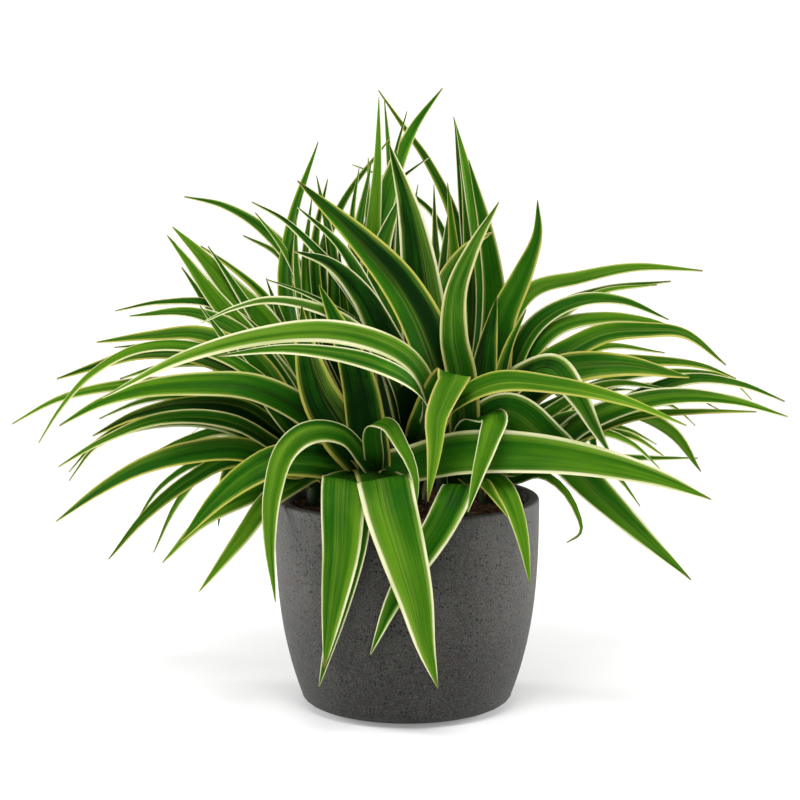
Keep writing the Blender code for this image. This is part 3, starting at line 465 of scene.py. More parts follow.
@dataclass
class LeafWork:
    """Sets out the blades of a crown where its solid has them."""

    plantlet: Plantlet
    solid: BVHTree
    soil_level: float = 115 * MM
    root_level: float = 121 * MM
    stem_rise: float = 27 * MM
    fan_rise: float = 14 * MM
    root_ring: float = 3 * MM
    shifts: tuple[float, ...] = (0, 4, -4, 8, -8, 12, -12, 18, -18, 24, -24, 32, -32)
    shifted_points: int = 3
    swings: tuple[float, ...] = (0, 7, -7, 14, -14, 22, -22, 32, -32, 45, -45, 60, -60)
    lifts: tuple[float, ...] = (0, 8, -8, 16, -16)
    arch_points: int = 5
    arch_late: float = 1.2

    def rooted(self, rank: int, points: list[Vector]) -> Midrib:
        """A midrib through the points, with the leaf's root put before them inside the crown's stem.

        Args:
            rank: The leaf's place in the order of the crown's leaves.
            points: Where the leaf runs outside the stem.

        Returns:
            The whole midrib.
        """
        away = points[0] - self.plantlet.foot
        away.z = 0
        away.normalize()
        beside = Vector((-away.y, away.x, 0)) * (2 * (rank * GOLDEN % 1) - 1)
        stem = self.plantlet.foot + (away + beside) * self.root_ring
        low = stem + Vector((0, 0, self.root_level))
        high = stem + Vector((0, 0, min(points[0].z, self.soil_level + self.stem_rise)))
        return Midrib([low, high] + points)

    def tabled(self, rank: int, leaf: Leaf, shift: float) -> Blade:
        """A tabled leaf's blade, its outer part moved along the sight lines.

        Args:
            rank: The leaf's place in the order of the crown's leaves.
            leaf: The leaf.
            shift: How far its outer part comes forward, in mm.

        Returns:
            The blade.
        """
        reaches = [min(1, (i + 1) / self.shifted_points) for i in range(len(leaf.path))]
        points = [
            on_sight_line(across, up, toward + shift * reach)
            for (across, up, toward), reach in zip(leaf.path, reaches)
        ]
        goes_right = 1 if leaf.path[-1][0] > leaf.path[0][0] else -1
        turn = math.radians(leaf.turn)

        def side_at(heading: Vector, place: Vector) -> Vector:
            """The side that turns the blade's face by the leaf's turn from the standpoint."""
            sight = (STANDPOINT - place).normalized()
            sight.z += heading.dot(sight) ** 2
            facing = sight - sight.project(heading)
            return heading.cross(facing) * math.cos(turn) + facing * goes_right * math.sin(turn)

        return Blade(leaf.width * MM / math.cos(turn), self.rooted(rank, points), side_at)

    def arched(self, rank: int, arch: "Arch", swing: float, lift: float) -> Blade:
        """The blade of a leaf that rises from its crown and bends over.

        Args:
            rank: The leaf's place in the order of the crown's leaves.
            arch: The leaf.
            swing: By how many degrees it is turned about the crown.
            lift: By how many degrees it is raised.

        Returns:
            The blade.
        """
        place = self.plantlet.foot + Vector((0, 0, self.soil_level + self.fan_rise))
        points = []
        for i in range(1, self.arch_points + 1):
            share = i / self.arch_points
            heading = arch.heading + math.radians(swing) + arch.sway * share
            climb = arch.rise + math.radians(lift) - (arch.rise + arch.droop) * share**self.arch_late
            level = math.cos(climb)
            step = Vector((math.cos(heading) * level, math.sin(heading) * level, math.sin(climb)))
            place = place + step * arch.length / self.arch_points
            points.append(place)
        level_side = Vector((-math.sin(arch.heading), math.cos(arch.heading), 0))

        def side_at(along: Vector, _place: Vector) -> Vector:
            """The level side, turned about the leaf by its twist."""
            return Matrix.Rotation(arch.twist, 3, along) @ -level_side

        return Blade(arch.width, self.rooted(rank, points), side_at)

    def misfit(self, blade: Blade) -> float:
        """How far the outer half of the blade lies from the crown's solid, in metres."""
        places, shares, _ = blade.coarse()
        outer = [place for place, share in zip(places, shares) if share > 0.5]
        return max(self.solid.find_nearest(place)[3] for place in outer)

    def best(self, tries: Iterable[Blade]) -> Blade:
        """The try that lies in the crown's solid."""
        return min(tries, key=self.misfit)

    def slim(self) -> list[Blade]:
        """The slim leaves behind the crown's others, which its solid leaves out."""
        leaves = SLIM.get(self.plantlet.name, ())
        return [self.tabled(rank, leaf, 0) for rank, leaf in enumerate(leaves)]

    def blades(self, draw: random.Random) -> list[Blade]:
        """All the crown's blades.

        Args:
            draw: The seeded draw that all the crowns share.

        Returns:
            The blades, the tabled ones first.
        """
        placed = []
        for rank, leaf in enumerate(self.plantlet.leaves):
            placed.append(self.best(self.tabled(rank, leaf, shift) for shift in self.shifts))
        for arch in Arch.fan(self.plantlet, draw):
            rank = len(placed)
            tries = (
                self.arched(rank, arch, swing, lift) for lift in self.lifts for swing in self.swings
            )
            placed.append(self.best(tries))
        return placed


@dataclass(frozen=True)
class Arch:
    """A leaf of the fan: sizes in metres, and angles in radians."""

    width: float
    length: float
    heading: float
    rise: float
    droop: float
    sway: float
    twist: float

    @classmethod
    def fan(cls, plantlet: Plantlet, draw: random.Random) -> Iterator["Arch"]:
        """A crown's other leaves, fanned out by the golden ratio with drawn sizes.

        Args:
            plantlet: The crown.
            draw: The seeded draw that all the crowns share.

        Yields:
            The leaves.
        """
        for i in range(plantlet.fan_count):
            share = 2 * ((0.5 + i * GOLDEN) % 1) - 1
            yield cls(
                width=draw.uniform(*FAN_WIDTHS) * MM,
                length=draw.uniform(*FAN_LENGTHS) * MM,
                heading=math.radians(plantlet.fan_heading + plantlet.fan_spread * share),
                rise=math.radians(draw.uniform(*FAN_RISES)),
                droop=math.radians(draw.uniform(*FAN_DROOPS)),
                sway=math.radians(draw.uniform(-FAN_SWAY, FAN_SWAY)),
                twist=math.radians(draw.uniform(-FAN_TWIST, FAN_TWIST)),
            )


class Value:
    """A number that varies over a surface: arithmetic on it adds Math nodes."""

    def __init__(self, graph: "Graph", socket: bpy.types.NodeSocket) -> None:
        """Wraps an output socket of the graph."""
        self.graph = graph
        self.socket = socket

    def math(self, operation: str, *operands: "Value | float") -> "Value":
        """The result of a Math node on these operands."""
        node = self.graph.add("ShaderNodeMath", {"operation": operation}, dict(enumerate(operands)))
        return Value(self.graph, node.outputs[0])

    def __add__(self, other: "Value | float") -> "Value":
        """The sum."""
        return self.math("ADD", self, other)

    __radd__ = __add__

    def __sub__(self, other: "Value | float") -> "Value":
        """The difference."""
        return self.math("SUBTRACT", self, other)

    def __rsub__(self, other: float) -> "Value":
        """A number less this value."""
        return self.math("SUBTRACT", other, self)

    def __mul__(self, other: "Value | float") -> "Value":
        """The product."""
        return self.math("MULTIPLY", self, other)

    __rmul__ = __mul__

    def __abs__(self) -> "Value":
        """The size without the sign."""
        return self.math("ABSOLUTE", self)

    def fraction(self) -> "Value":
        """What is left of the value over the whole number below it."""
        return self.math("FRACT", self)

    def step(self, low: "Value | float", high: "Value | float") -> "Value":
        """0 below low, 1 above high, and smooth between."""
        settings = {"interpolation_type": "SMOOTHSTEP"}
        sockets = {"Value": self, "From Min": low, "From Max": high}
        return Value(self.graph, self.graph.add("ShaderNodeMapRange", settings, sockets).outputs[0])


Feed = Value | bpy.types.NodeSocket | float | Sequence[float]


class Graph:
    """A material's nodes, round one Principled shader."""

    def __init__(self, name: str) -> None:
        """Makes the material.

        Args:
            name: Its name.
        """
        self.material = bpy.data.materials.new(name)
        self.material.use_nodes = True
        self.tree = self.material.node_tree
        self.shader = self.tree.nodes["Principled BSDF"]

    def add(
        self,
        kind: str,
        settings: dict[str, object] | None = None,
        sockets: dict[str | int, Feed] | None = None,
    ) -> bpy.types.Node:
        """Adds a node.

        Args:
            kind: The node's type.
            settings: Its own settings.
            sockets: What goes into its sockets: values or links.

        Returns:
            The node.
        """
        node = self.tree.nodes.new(kind)
        for name, setting in (settings or {}).items():
            setattr(node, name, setting)
        for name, feed in (sockets or {}).items():
            self.feed(node.inputs[name], feed)
        return node

    def feed(self, socket: bpy.types.NodeSocket, feed: Feed) -> None:
        """Links a value or a socket into this socket, or sets it to a constant."""
        if isinstance(feed, Value):
            feed = feed.socket
        if isinstance(feed, bpy.types.NodeSocket):
            self.tree.links.new(feed, socket)
        else:
            socket.default_value = feed

    def set(self, sockets: dict[str, Feed]) -> None:
        """Feeds sockets of the shader by name."""
        for name, feed in sockets.items():
            self.feed(self.shader.inputs[name], feed)

    def millimetres(self) -> bpy.types.NodeSocket:
        """The place on the piece, in mm."""
        place = self.add("ShaderNodeTexCoord").outputs["Object"]
        sockets = {0: place, "Scale": 1 / MM}
        return self.add("ShaderNodeVectorMath", {"operation": "SCALE"}, sockets).outputs[0]

    def parts(self, vector: bpy.types.NodeSocket) -> tuple[Value, Value, Value]:
        """The three numbers of a vector."""
        split = self.add("ShaderNodeSeparateXYZ", sockets={0: vector})
        return Value(self, split.outputs[0]), Value(self, split.outputs[1]), Value(self, split.outputs[2])

    def point(self, *numbers: Value | float) -> bpy.types.NodeSocket:
        """A vector of up to three numbers."""
        return self.add("ShaderNodeCombineXYZ", sockets=dict(enumerate(numbers))).outputs[0]

    def noise(
        self, vector: bpy.types.NodeSocket, scale: float, detail: float = 2, rough: float = 0.5
    ) -> Value:
        """Soft noise from 0 to 1.

        Args:
            vector: Where to read it.
            scale: Its frequency.
            detail: How many finer layers it has.
            rough: How strong the finer layers are.

        Returns:
            The noise.
        """
        sockets = {"Vector": vector, "Scale": scale, "Detail": detail, "Roughness": rough}
        return Value(self, self.add("ShaderNodeTexNoise", sockets=sockets).outputs["Fac"])

    def cells(self, vector: bpy.types.NodeSocket, scale: float) -> bpy.types.Node:
        """A pattern of cells, with a distance and a random colour for each."""
        return self.add("ShaderNodeTexVoronoi", sockets={"Vector": vector, "Scale": scale})

    def mix(self, share: Value | float, under: Feed, over: Feed) -> bpy.types.NodeSocket:
        """The colour a share of the way from under to over."""
        settings = {"data_type": "RGBA"}
        return self.add("ShaderNodeMix", settings, {0: share, 6: under, 7: over}).outputs[2]

    def bump(self, height: Value, distance: float, strength: float = 1) -> bpy.types.NodeSocket:
        """Normals that follow a height.

        Args:
            height: The height, from 0 to 1.
            distance: How deep that is, in metres.
            strength: How much of it shows.

        Returns:
            The normals.
        """
        sockets = {"Height": height, "Distance": distance, "Strength": strength}
        return self.add("ShaderNodeBump", sockets=sockets).outputs[0]


@dataclass(frozen=True)
class BladeFinish:
    """A satin leaf: a green field of soft bands and fine streaks between pale margins.

    The piece's attribute "looks" holds a chance of the leaf's own, the margins' share of the half width,
    how golden they are, and how light the field is. The field carries painted shade, darker towards the
    roots and in the plant's heart, and painted light on one half of each blade and towards the tip; the
    margins dull to olive in that painted shade, and the pale streaks down some leaves' middles are partly
    a painted sheen.
    """

    deep: Colour = (0.0030, 0.018, 0.0020, 1)
    leafy: Colour = (0.0140, 0.088, 0.0030, 1)
    fresh: Colour = (0.0880, 0.215, 0.0080, 1)
    pale: Colour = (0.300, 0.420, 0.060, 1)
    cream: Colour = (0.760, 0.750, 0.470, 1)
    gold: Colour = (0.480, 0.420, 0.080, 1)
    margin_in_shade: Colour = (0.170, 0.190, 0.025, 1)
    tip: Colour = (0.160, 0.130, 0.040, 1)
    roughness: float = 0.45
    specular: float = 0.02
    shaded_heart_height: float = 170
    shaded_heart_low: float = 50
    shaded_heart_high: float = 190
    vein_depth: float = 0.12 * MM

    def material(self) -> bpy.types.Material:
        """Makes the material."""
        graph = Graph("leaf_blade")
        uv = graph.add("ShaderNodeUVMap", {"uv_map": "blade"}).outputs[0]
        across, along, _ = graph.parts(uv)
        looks = graph.add("ShaderNodeAttribute", {"attribute_name": "looks"})
        chance, margin, gold = graph.parts(looks.outputs["Vector"])
        shade = Value(graph, looks.outputs["Alpha"])

        from_edge = 1 - abs(2 * across - 1)
        side = across.step(0.49, 0.51)
        own = chance * 37
        bands = graph.noise(graph.point(across * 3.2 + own, along * 1.1, own), 1, 2)
        streaks = graph.noise(graph.point(across * 22 + own, along * 1.4, own), 1, 3, 0.6)
        lines = graph.noise(graph.point(across * 75 + own, along * 2.5, own), 1, 2)
        clouds = graph.noise(graph.point(across * 1.8 + own, along * 6, own), 1, 2)

        wander = graph.noise(graph.point(along * 7 + own, side * 9, own), 1, 3)
        lean = (chance * 7.3 + side * 0.41).fraction()
        border = margin * (0.1 + wander * 0.9 + lean * 0.8)
        frayed = from_edge + (lines - 0.5) * 0.05
        is_margin = 1 - frayed.step(border * 0.5, border * 1.2)
        near = 1 - from_edge.step(border * 0.8, border * 2.8)

        # Painted shade: the field darkens towards the roots and round the plant's shaded heart; bright is
        # what that painted shade leaves
        low = 1 - along.step(0.08, 0.68)
        x, y, z = graph.parts(graph.millimetres())
        back, up = y - 20, z - self.shaded_heart_height
        inner = 1 - (x * x + back * back + up * up).step(self.shaded_heart_low**2, self.shaded_heart_high**2)
        bright = 1 - inner * low * 0.8 - inner * 0.1
        # Painted light: one half of each blade is lit more than the other, and the field grows lighter
        # towards the tip
        lit_side = (across - 0.5) * ((chance * 5.7).fraction() - 0.5)
        soft = (bands - 0.5) * 1.3 + (streaks - 0.5) * 0.5 + (clouds - 0.5) * 0.7 + (lines - 0.5) * 0.15
        light = (shade + soft + lit_side * 0.6 + near * 0.08 + along.step(0.1, 0.9) * 0.16) * bright
        field_colour = graph.mix(light.step(0, 0.5), self.deep, self.leafy)
        field_colour = graph.mix(light.step(0.4, 1.05), field_colour, self.fresh)

        pale_lines = (lines * 0.6 + streaks * 0.6).step(0.56, 0.78) * near
        # Pale streaks down the middle of some leaves: partly their own streaking, partly a painted sheen
        off_middle = abs(across * 2 - 1 + (chance - 0.5) * 0.9)
        middle = (1 - off_middle.step(0.02, 0.42)) * (chance * 17.7).fraction()
        middle_streaks_and_sheen = middle * (lines * 0.7 + streaks * 0.6).step(0.55, 0.85)
        pale_share = (pale_lines * 0.6 + near * 0.16 + middle_streaks_and_sheen * 0.5) * bright
        field_colour = graph.mix(pale_share, field_colour, self.pale)

        margin_colour = graph.mix(gold + (clouds - 0.5) * 0.6 + low * 0.5, self.cream, self.gold)
        margin_colour = graph.mix((lines + clouds).step(0.95, 1.25) * 0.6, margin_colour, self.pale)
        # Painted shade: the margins dull to olive where the field is painted in shade
        margin_colour = graph.mix((1 - bright) * 0.7, margin_colour, self.margin_in_shade)
        colour = graph.mix(is_margin, field_colour, margin_colour)
        dry = along.step(0.975, 1.0) * (chance * 5.1).fraction()
        colour = graph.mix(dry, colour, self.tip)

        rough = self.roughness + streaks * 0.12 - lines * 0.06
        veins = graph.noise(graph.point(across * 42 + own, along * 0.8, own), 1, 1)
        crease = from_edge.step(0.93, 1.0)
        height = veins - crease * 0.6
        graph.set(
            {
                "Base Color": colour,
                "Roughness": rough,
                "Specular IOR Level": self.specular,
                "Normal": graph.bump(height, self.vein_depth, 0.6),
            }
        )
        return graph.material


@dataclass(frozen=True)
class ClayFinish:
    """Matte fibre-reinforced clay: charcoal with pits, pale grains and faint streaks."""

    ground: Colour = (0.016, 0.0155, 0.014, 1)
    worn: Colour = (0.066, 0.0635, 0.056, 1)
    pit: Colour = (0.004, 0.004, 0.0035, 1)
    grain: Colour = (0.160, 0.155, 0.145, 1)
    # Where the painted shade at the pot's foot is full and where it ends, in mm up from the floor
    foot_shade_low: float = 5
    foot_shade_high: float = 75
    roughness: float = 0.6
    specular: float = 0.3
    pit_depth: float = 0.35 * MM

    def material(self) -> bpy.types.Material:
        """Makes the material."""
        graph = Graph("fibre_clay")
        place = graph.millimetres()
        x, y, z = graph.parts(place)
        clouds = graph.noise(place, 0.045, 4, 0.6)
        mottle = graph.noise(place, 0.5, 4, 0.65)
        fine = graph.noise(place, 1.5, 3, 0.65)
        streaks = graph.noise(graph.point(x * 0.9, y * 0.9, z * 0.05), 1, 3, 0.6)
        layers = graph.noise(graph.point(x * 0.03, y * 0.03, z * 1.4), 1, 2)

        cell = graph.cells(place, 0.36)
        reach = Value(graph, cell.outputs["Distance"])
        size = graph.parts(cell.outputs["Color"])[0]
        pits = (1 - (reach + (fine - 0.5) * 0.5).step(0.22, 0.30)) * size.step(0.42, 0.50)
        small = graph.cells(place, 0.85)
        nearness = 1 - Value(graph, small.outputs["Distance"]).step(0.16, 0.42)
        _, chance, other_chance = graph.parts(small.outputs["Color"])
        dust = nearness * chance.step(0.72, 0.85)
        dust_dark = nearness * other_chance.step(0.55, 0.75)

        # Painted shade: the clay darkens towards its foot, where the pot meets the floor
        foot = 1 - z.step(self.foot_shade_low, self.foot_shade_high)
        tone = clouds * 0.4 + mottle * 0.6 + fine * 2.2 + streaks * 0.3 + layers * 0.15 - 1.39
        colour = graph.mix((tone - foot * 0.16).step(0.1, 0.8), self.ground, self.worn)
        colour = graph.mix(dust * 0.28, colour, self.grain)
        colour = graph.mix(pits * 0.95, colour, self.pit)
        colour = graph.mix(dust_dark * 0.9, colour, self.pit)
        height = mottle * 0.25 + fine * 0.25 - pits - dust_dark * 0.4 + dust * 0.2
        graph.set(
            {
                "Base Color": colour,
                "Roughness": self.roughness + mottle * 0.2,
                "Specular IOR Level": self.specular,
                "Normal": graph.bump(height, self.pit_depth, 0.7),
            }
        )
        return graph.material


@dataclass(frozen=True)
class CoirFinish:
    """Damp coir: dark brown with rusty crumbs."""

    dark: Colour = (0.022, 0.010, 0.006, 1)
    rust: Colour = (0.120, 0.042, 0.018, 1)
    straw: Colour = (0.260, 0.150, 0.070, 1)
    name: str = "coir"
    lightness: float = 0.0
    specular: float = 0.25
    grain_depth: float = 0.8 * MM

    def material(self) -> bpy.types.Material:
        """Makes the material."""
        graph = Graph(self.name)
        place = graph.millimetres()
        lumps = graph.noise(place, 0.35, 4, 0.65)
        crumbs = graph.noise(place, 1.5, 4, 0.7)
        bits = graph.cells(place, 0.9)
        bright = graph.parts(bits.outputs["Color"])[0].step(0.72, 0.95)
        tone = (lumps * 0.6 + crumbs * 0.6 + self.lightness - 0.15).step(0.15, 0.8)
        colour = graph.mix(tone, self.dark, self.rust)
        colour = graph.mix(bright * (0.25 + self.lightness), colour, self.straw)
        graph.set(
            {
                "Base Color": colour,
                "Roughness": 0.85 + crumbs * 0.15,
                "Specular IOR Level": self.specular,
                "Normal": graph.bump(crumbs + lumps * 0.5, self.grain_depth, 0.9),
            }
        )
        return graph.material


@dataclass(frozen=True)
class SheathFinish:
    """The clasping leaf bases, deep in shade: dull brownish green low down, dark green above."""

    # Painted shade: both colours are darkened to stand for the shade round the stems
    low: Colour = (0.018, 0.022, 0.008, 1)
    high: Colour = (0.006, 0.026, 0.003, 1)
    rib: Colour = (0.004, 0.018, 0.002, 1)
    specular: float = 0.03
    soil_level: float = 115

    def material(self) -> bpy.types.Material:
        """Makes the material."""
        graph = Graph("leaf_sheath")
        place = graph.millimetres()
        x, y, z = graph.parts(place)
        ribs = graph.noise(graph.point(x * 1.4, y * 1.4, z * 0.05), 1, 3, 0.6)
        up = (z + ribs * 8).step(self.soil_level + 2, self.soil_level + 26)
        colour = graph.mix(up, self.low, self.high)
        colour = graph.mix(ribs.step(0.5, 0.75) * 0.5, colour, self.rib)
        graph.set(
            {
                "Base Color": colour,
                "Roughness": 0.6 + ribs * 0.1,
                "Specular IOR Level": self.specular,
                "Normal": graph.bump(ribs, 0.3 * MM, 0.6),
            }
        )
        return graph.material


def faces_round(vertices: Iterable[bmesh.types.BMVert]) -> list[bmesh.types.BMFace]:
    """The faces that touch these vertices, each once and in a fixed order."""
    return list(dict.fromkeys(face for vertex in vertices for face in vertex.link_faces))


def piece_from(
    bm: bmesh.types.BMesh,
    name: str,
    material: bpy.types.Material,
    node: str,
    sharp_angle: float = 40,
) -> bpy.types.Object:
    """Makes a piece of a mesh that is in place, and has it stand for a node of the frame.

    Args:
        bm: The mesh, which is freed.
        name: The piece's name.
        material: Its material.
        node: The node that it stands for.
        sharp_angle: The angle in degrees between faces past which an edge stays sharp.

    Returns:
        The piece.
    """
    mesh = bpy.data.meshes.new(name)
    bm.to_mesh(mesh)
    bm.free()
    mesh.materials.append(material)
    mesh.shade_smooth()
    mesh.set_sharp_from_angle(angle=math.radians(sharp_angle))
    piece = bpy.data.objects.new(name, mesh)
    bpy.context.scene.collection.objects.link(piece)
    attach(piece, BODY)
    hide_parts(node)
    log.info("%s: %d faces", name, len(mesh.polygons))
    return piece


@dataclass
class Crown:
    """A crown's leaves and the sheaths that clasp its stem."""

    plantlet: Plantlet
    blades: list[Blade]
    looks: random.Random
    thickness: float = 0.5 * MM
    columns: int = 10
    row_length: float = 5 * MM
    base_channel: float = 0.38
    blade_channel: float = 0.20
    fold_round: float = 0.15
    tip_margin: float = 0.5
    white_margin: float = 1.5
    most_margin: float = 0.95
    sharp_bend: Point2 = (math.radians(10), math.radians(28))
    bent_channel: float = -0.12
    bend_window: tuple[float, ...] = (0.5, 0.5, 0.5, 0.5, 0.5)
    ripple: float = 0.045
    sheath_count: int = 7
    sheath_low: float = 108 * MM
    sheath_rise: float = 34 * MM
    sheath_radius: float = 8.4 * MM
    sheath_top: float = 5.6 * MM
    sheath_thickness: float = 0.6 * MM
    sheath_wrap: float = math.radians(95)

    def build(self, blade_material: bpy.types.Material, sheath_material: bpy.types.Material) -> None:
        """Makes both pieces.

        Args:
            blade_material: The leaves' material.
            sheath_material: The sheaths' material.
        """
        bm = bmesh.new()
        bm.loops.layers.uv.new("blade")
        looks = bm.verts.layers.float_color.new("looks")
        tones = [Tone(letter) for letter in self.plantlet.tones]
        shades = [Shade(letter) for letter in self.plantlet.shades]
        others = len(self.blades) - len(tones)
        tones += self.looks.choices([Tone.CREAM, Tone.BETWEEN, Tone.GOLD], (5, 3, 2), k=others)
        shades += self.looks.choices(list(Shade), (3, 5, 2), k=others)
        for blade, tone, shade in zip(self.blades, tones, shades, strict=True):
            self.add_blade(bm, looks, blade, tone, shade)
        piece_from(bm, "leaves_" + self.plantlet.name, blade_material, self.plantlet.node, 60)
        piece_from(
            self.sheaths(), "sheaths_" + self.plantlet.name, sheath_material, self.plantlet.node, 60
        )

    def add_blade(
        self,
        bm: bmesh.types.BMesh,
        looks: bmesh.types.BMLayerItem,
        blade: Blade,
        tone: Tone,
        shade: Shade,
    ) -> None:
        """Adds one leaf: a channelled ribbon with a fine wave along its edges, given a thickness.

        Args:
            bm: The crown's mesh.
            looks: The layer that the leaf finish reads.
            blade: The leaf.
            tone: What its margins look like.
            shade: How light its green is.
        """
        length = sum((b - a).length for a, b in zip(blade.midrib.points, blade.midrib.points[1:]))
        rows = max(18, round(length / self.row_length))
        places, shares, sides, faces = blade.fine(rows)
        channels = self.channels(blade, places, shares)
        chance = self.looks.random()
        waves = self.looks.uniform(2.0, 4.5)
        gold = tone.gold + self.looks.uniform(-0.05, 0.1)
        light = shade.light + self.looks.uniform(-0.08, 0.08)
        margin = (0.2 * MM + 0.068 * blade.width) * self.looks.uniform(0.7, 1.3)
        margin *= self.white_margin if tone is Tone.WHITE else 1
        grid = bmesh.ops.create_grid(
            bm, x_segments=self.columns, y_segments=rows, size=1, calc_uvs=True
        )
        for vertex in grid["verts"]:
            across = vertex.co.x
            station = round((vertex.co.y + 1) / 2 * rows)
            share = shares[station]
            half = blade.width_at(share) / 2
            fold = math.hypot(across, self.fold_round) - 0.5
            phase = 2 * math.pi * (waves * share + chance + (0.3 if across > 0 else 0))
            wave = self.ripple * math.sin(phase) * across**2 * math.sin(math.pi * share)
            height = half * (channels[station] * fold + wave) + self.thickness / 2
            vertex.co = places[station] + sides[station] * across * half + faces[station] * height
            band = margin * lerp(1, self.tip_margin, share**2)
            share_of_half = min(self.most_margin, band / max(half, 0.2 * blade.width))
            vertex[looks] = (chance, share_of_half, gold, light)
        ribbon = faces_round(grid["verts"])
        bmesh.ops.solidify(bm, geom=ribbon, thickness=self.thickness)

    def channels(self, blade: Blade, places: Sequence[Vector], shares: Sequence[float]) -> list[float]:
        """How deep the blade's channel is at each station: deep at the root, and none on a sharp bend.

        Args:
            blade: The leaf.
            places: Its stations.
            shares: Their shares of its length.

        Returns:
            The depths, as shares of half the width.
        """
        steps = [after - before for before, after in zip(places, places[1:])]
        bends = [0.0] + [before.angle(after, 0) for before, after in zip(steps, steps[1:])] + [0.0]
        bends = np.convolve(np.pad(bends, 2, "edge"), self.bend_window, "valid")
        flats = np.clip((bends - self.sharp_bend[0]) / (self.sharp_bend[1] - self.sharp_bend[0]), 0, 1)
        rooted = [max(0.0, 1 - share / blade.widest_at) for share in shares]
        deep = [lerp(self.blade_channel, self.base_channel, near) for near in rooted]
        return [lerp(depth, self.bent_channel, flat) for depth, flat in zip(deep, flats)]

    def sheaths(self) -> bmesh.types.BMesh:
        """The clasping leaf bases round the stem, over a solid core."""
        bm = bmesh.new()
        rise = self.sheath_rise
        core = Matrix.Translation(self.plantlet.foot + Vector((0, 0, self.sheath_low + rise / 2)))
        bmesh.ops.create_cone(
            bm,
            cap_ends=True,
            segments=20,
            radius1=self.sheath_radius - 0.8 * MM,
            radius2=self.sheath_top - 1.2 * MM,
            depth=rise - 4 * MM,
            matrix=core,
        )
        for i in range(self.sheath_count):
            heading = 2 * math.pi * i * GOLDEN
            lean = 0.12 * i * MM
            rows = 10
            grid = bmesh.ops.create_grid(bm, x_segments=10, y_segments=rows, size=1)
            for vertex in grid["verts"]:
                across = vertex.co.x
                up = (vertex.co.y + 1) / 2
                clasp = self.sheath_wrap * (1 - 0.75 * up**3)
                angle = heading + across * clasp
                radius = lerp(self.sheath_radius, self.sheath_top, up) + lean * (1 - up)
                height = self.sheath_low + rise * up * (1 - 0.02 * i)
                out = Vector((math.cos(angle), math.sin(angle), 0)) * radius
                vertex.co = self.plantlet.foot + out + Vector((0, 0, height))
            sheath = faces_round(grid["verts"])
            bmesh.ops.solidify(bm, geom=sheath, thickness=self.sheath_thickness)
        return bm


@dataclass
class Pot:
    """The turned pot: a bowl that steepens to a nearly upright rim, with a rounded foot."""

    rim_radius: float = 76 * MM
    height: float = 122 * MM
    foot_radius: float = 41 * MM
    corner_width: float = 20 * MM
    corner_height: float = 8 * MM
    bulge: float = 2.85
    wall: float = 6.5 * MM
    floor: float = 8 * MM
    lip_round: float = 1.6 * MM
    inner_corner: float = 6 * MM
    turns: int = 144
    rows: int = 28

    def radius_at(self, height: float) -> float:
        """The outer radius at a height."""
        share = max(0.0, (height - self.corner_height) / (self.height - self.corner_height))
        shoulder = self.foot_radius + self.corner_width
        return lerp(shoulder, self.rim_radius, 1 - (1 - share) ** self.bulge)

    def profile(self) -> list[Point2]:
        """The wall's (radius, height) points, from the inner floor over the lip to the foot's middle."""
        lip = self.height - self.lip_round
        inner_low = self.floor + self.inner_corner
        share = [i / self.rows for i in range(self.rows + 1)]
        inside = [(self.radius_at(z) - self.wall, z) for z in (lerp(inner_low, lip, s) for s in share)]
        outside = [(self.radius_at(z), z) for z in (lerp(lip, self.corner_height, s) for s in share)]
        angles = [math.radians(90 * i / 6) for i in range(1, 6)]
        inner = inside[-1][0] + self.lip_round
        outer = outside[0][0] - self.lip_round
        turns = [(self.lip_round * math.cos(a), self.lip_round * math.sin(a)) for a in angles]
        inner_lip = [(inner - level, lip + rise) for level, rise in turns]
        outer_lip = [(outer + rise, lip + level) for level, rise in turns]
        corner = []
        for i in range(1, 9):
            turn = math.radians(90 * (1 - i / 8))
            radius = self.foot_radius + self.corner_width * math.sin(turn)
            corner.append((radius, self.corner_height * (1 - math.cos(turn))))
        floor = [(0, self.floor), (inside[0][0] - self.inner_corner, self.floor)]
        top = [(inner, self.height), (outer, self.height)]
        return floor + inside + inner_lip + top + outer_lip + outside + corner + [(0, 0)]

    def build(self, material: bpy.types.Material) -> None:
        """Makes the pot."""
        piece_from(turned(self.profile(), self.turns), "planter", material, "pot", 50)


def turned(profile: Sequence[Point2], turns: int) -> bmesh.types.BMesh:
    """A shape turned on the axis.

    Args:
        profile: Its (radius, height) points.
        turns: How many steps it is turned in.

    Returns:
        The mesh, with its faces outwards.
    """
    bm = bmesh.new()
    corners = [bm.verts.new((radius, 0, height)) for radius, height in profile]
    edges = [bm.edges.new(pair) for pair in zip(corners, corners[1:])]
    bmesh.ops.spin(
        bm,
        geom=corners + edges,
        cent=(0, 0, 0),
        axis=(0, 0, 1),
        angle=2 * math.pi,
        steps=turns,
        use_merge=True,
    )
    bmesh.ops.remove_doubles(bm, verts=bm.verts, dist=0.005 * MM)
    bmesh.ops.recalc_face_normals(bm, faces=bm.faces)
    return bm


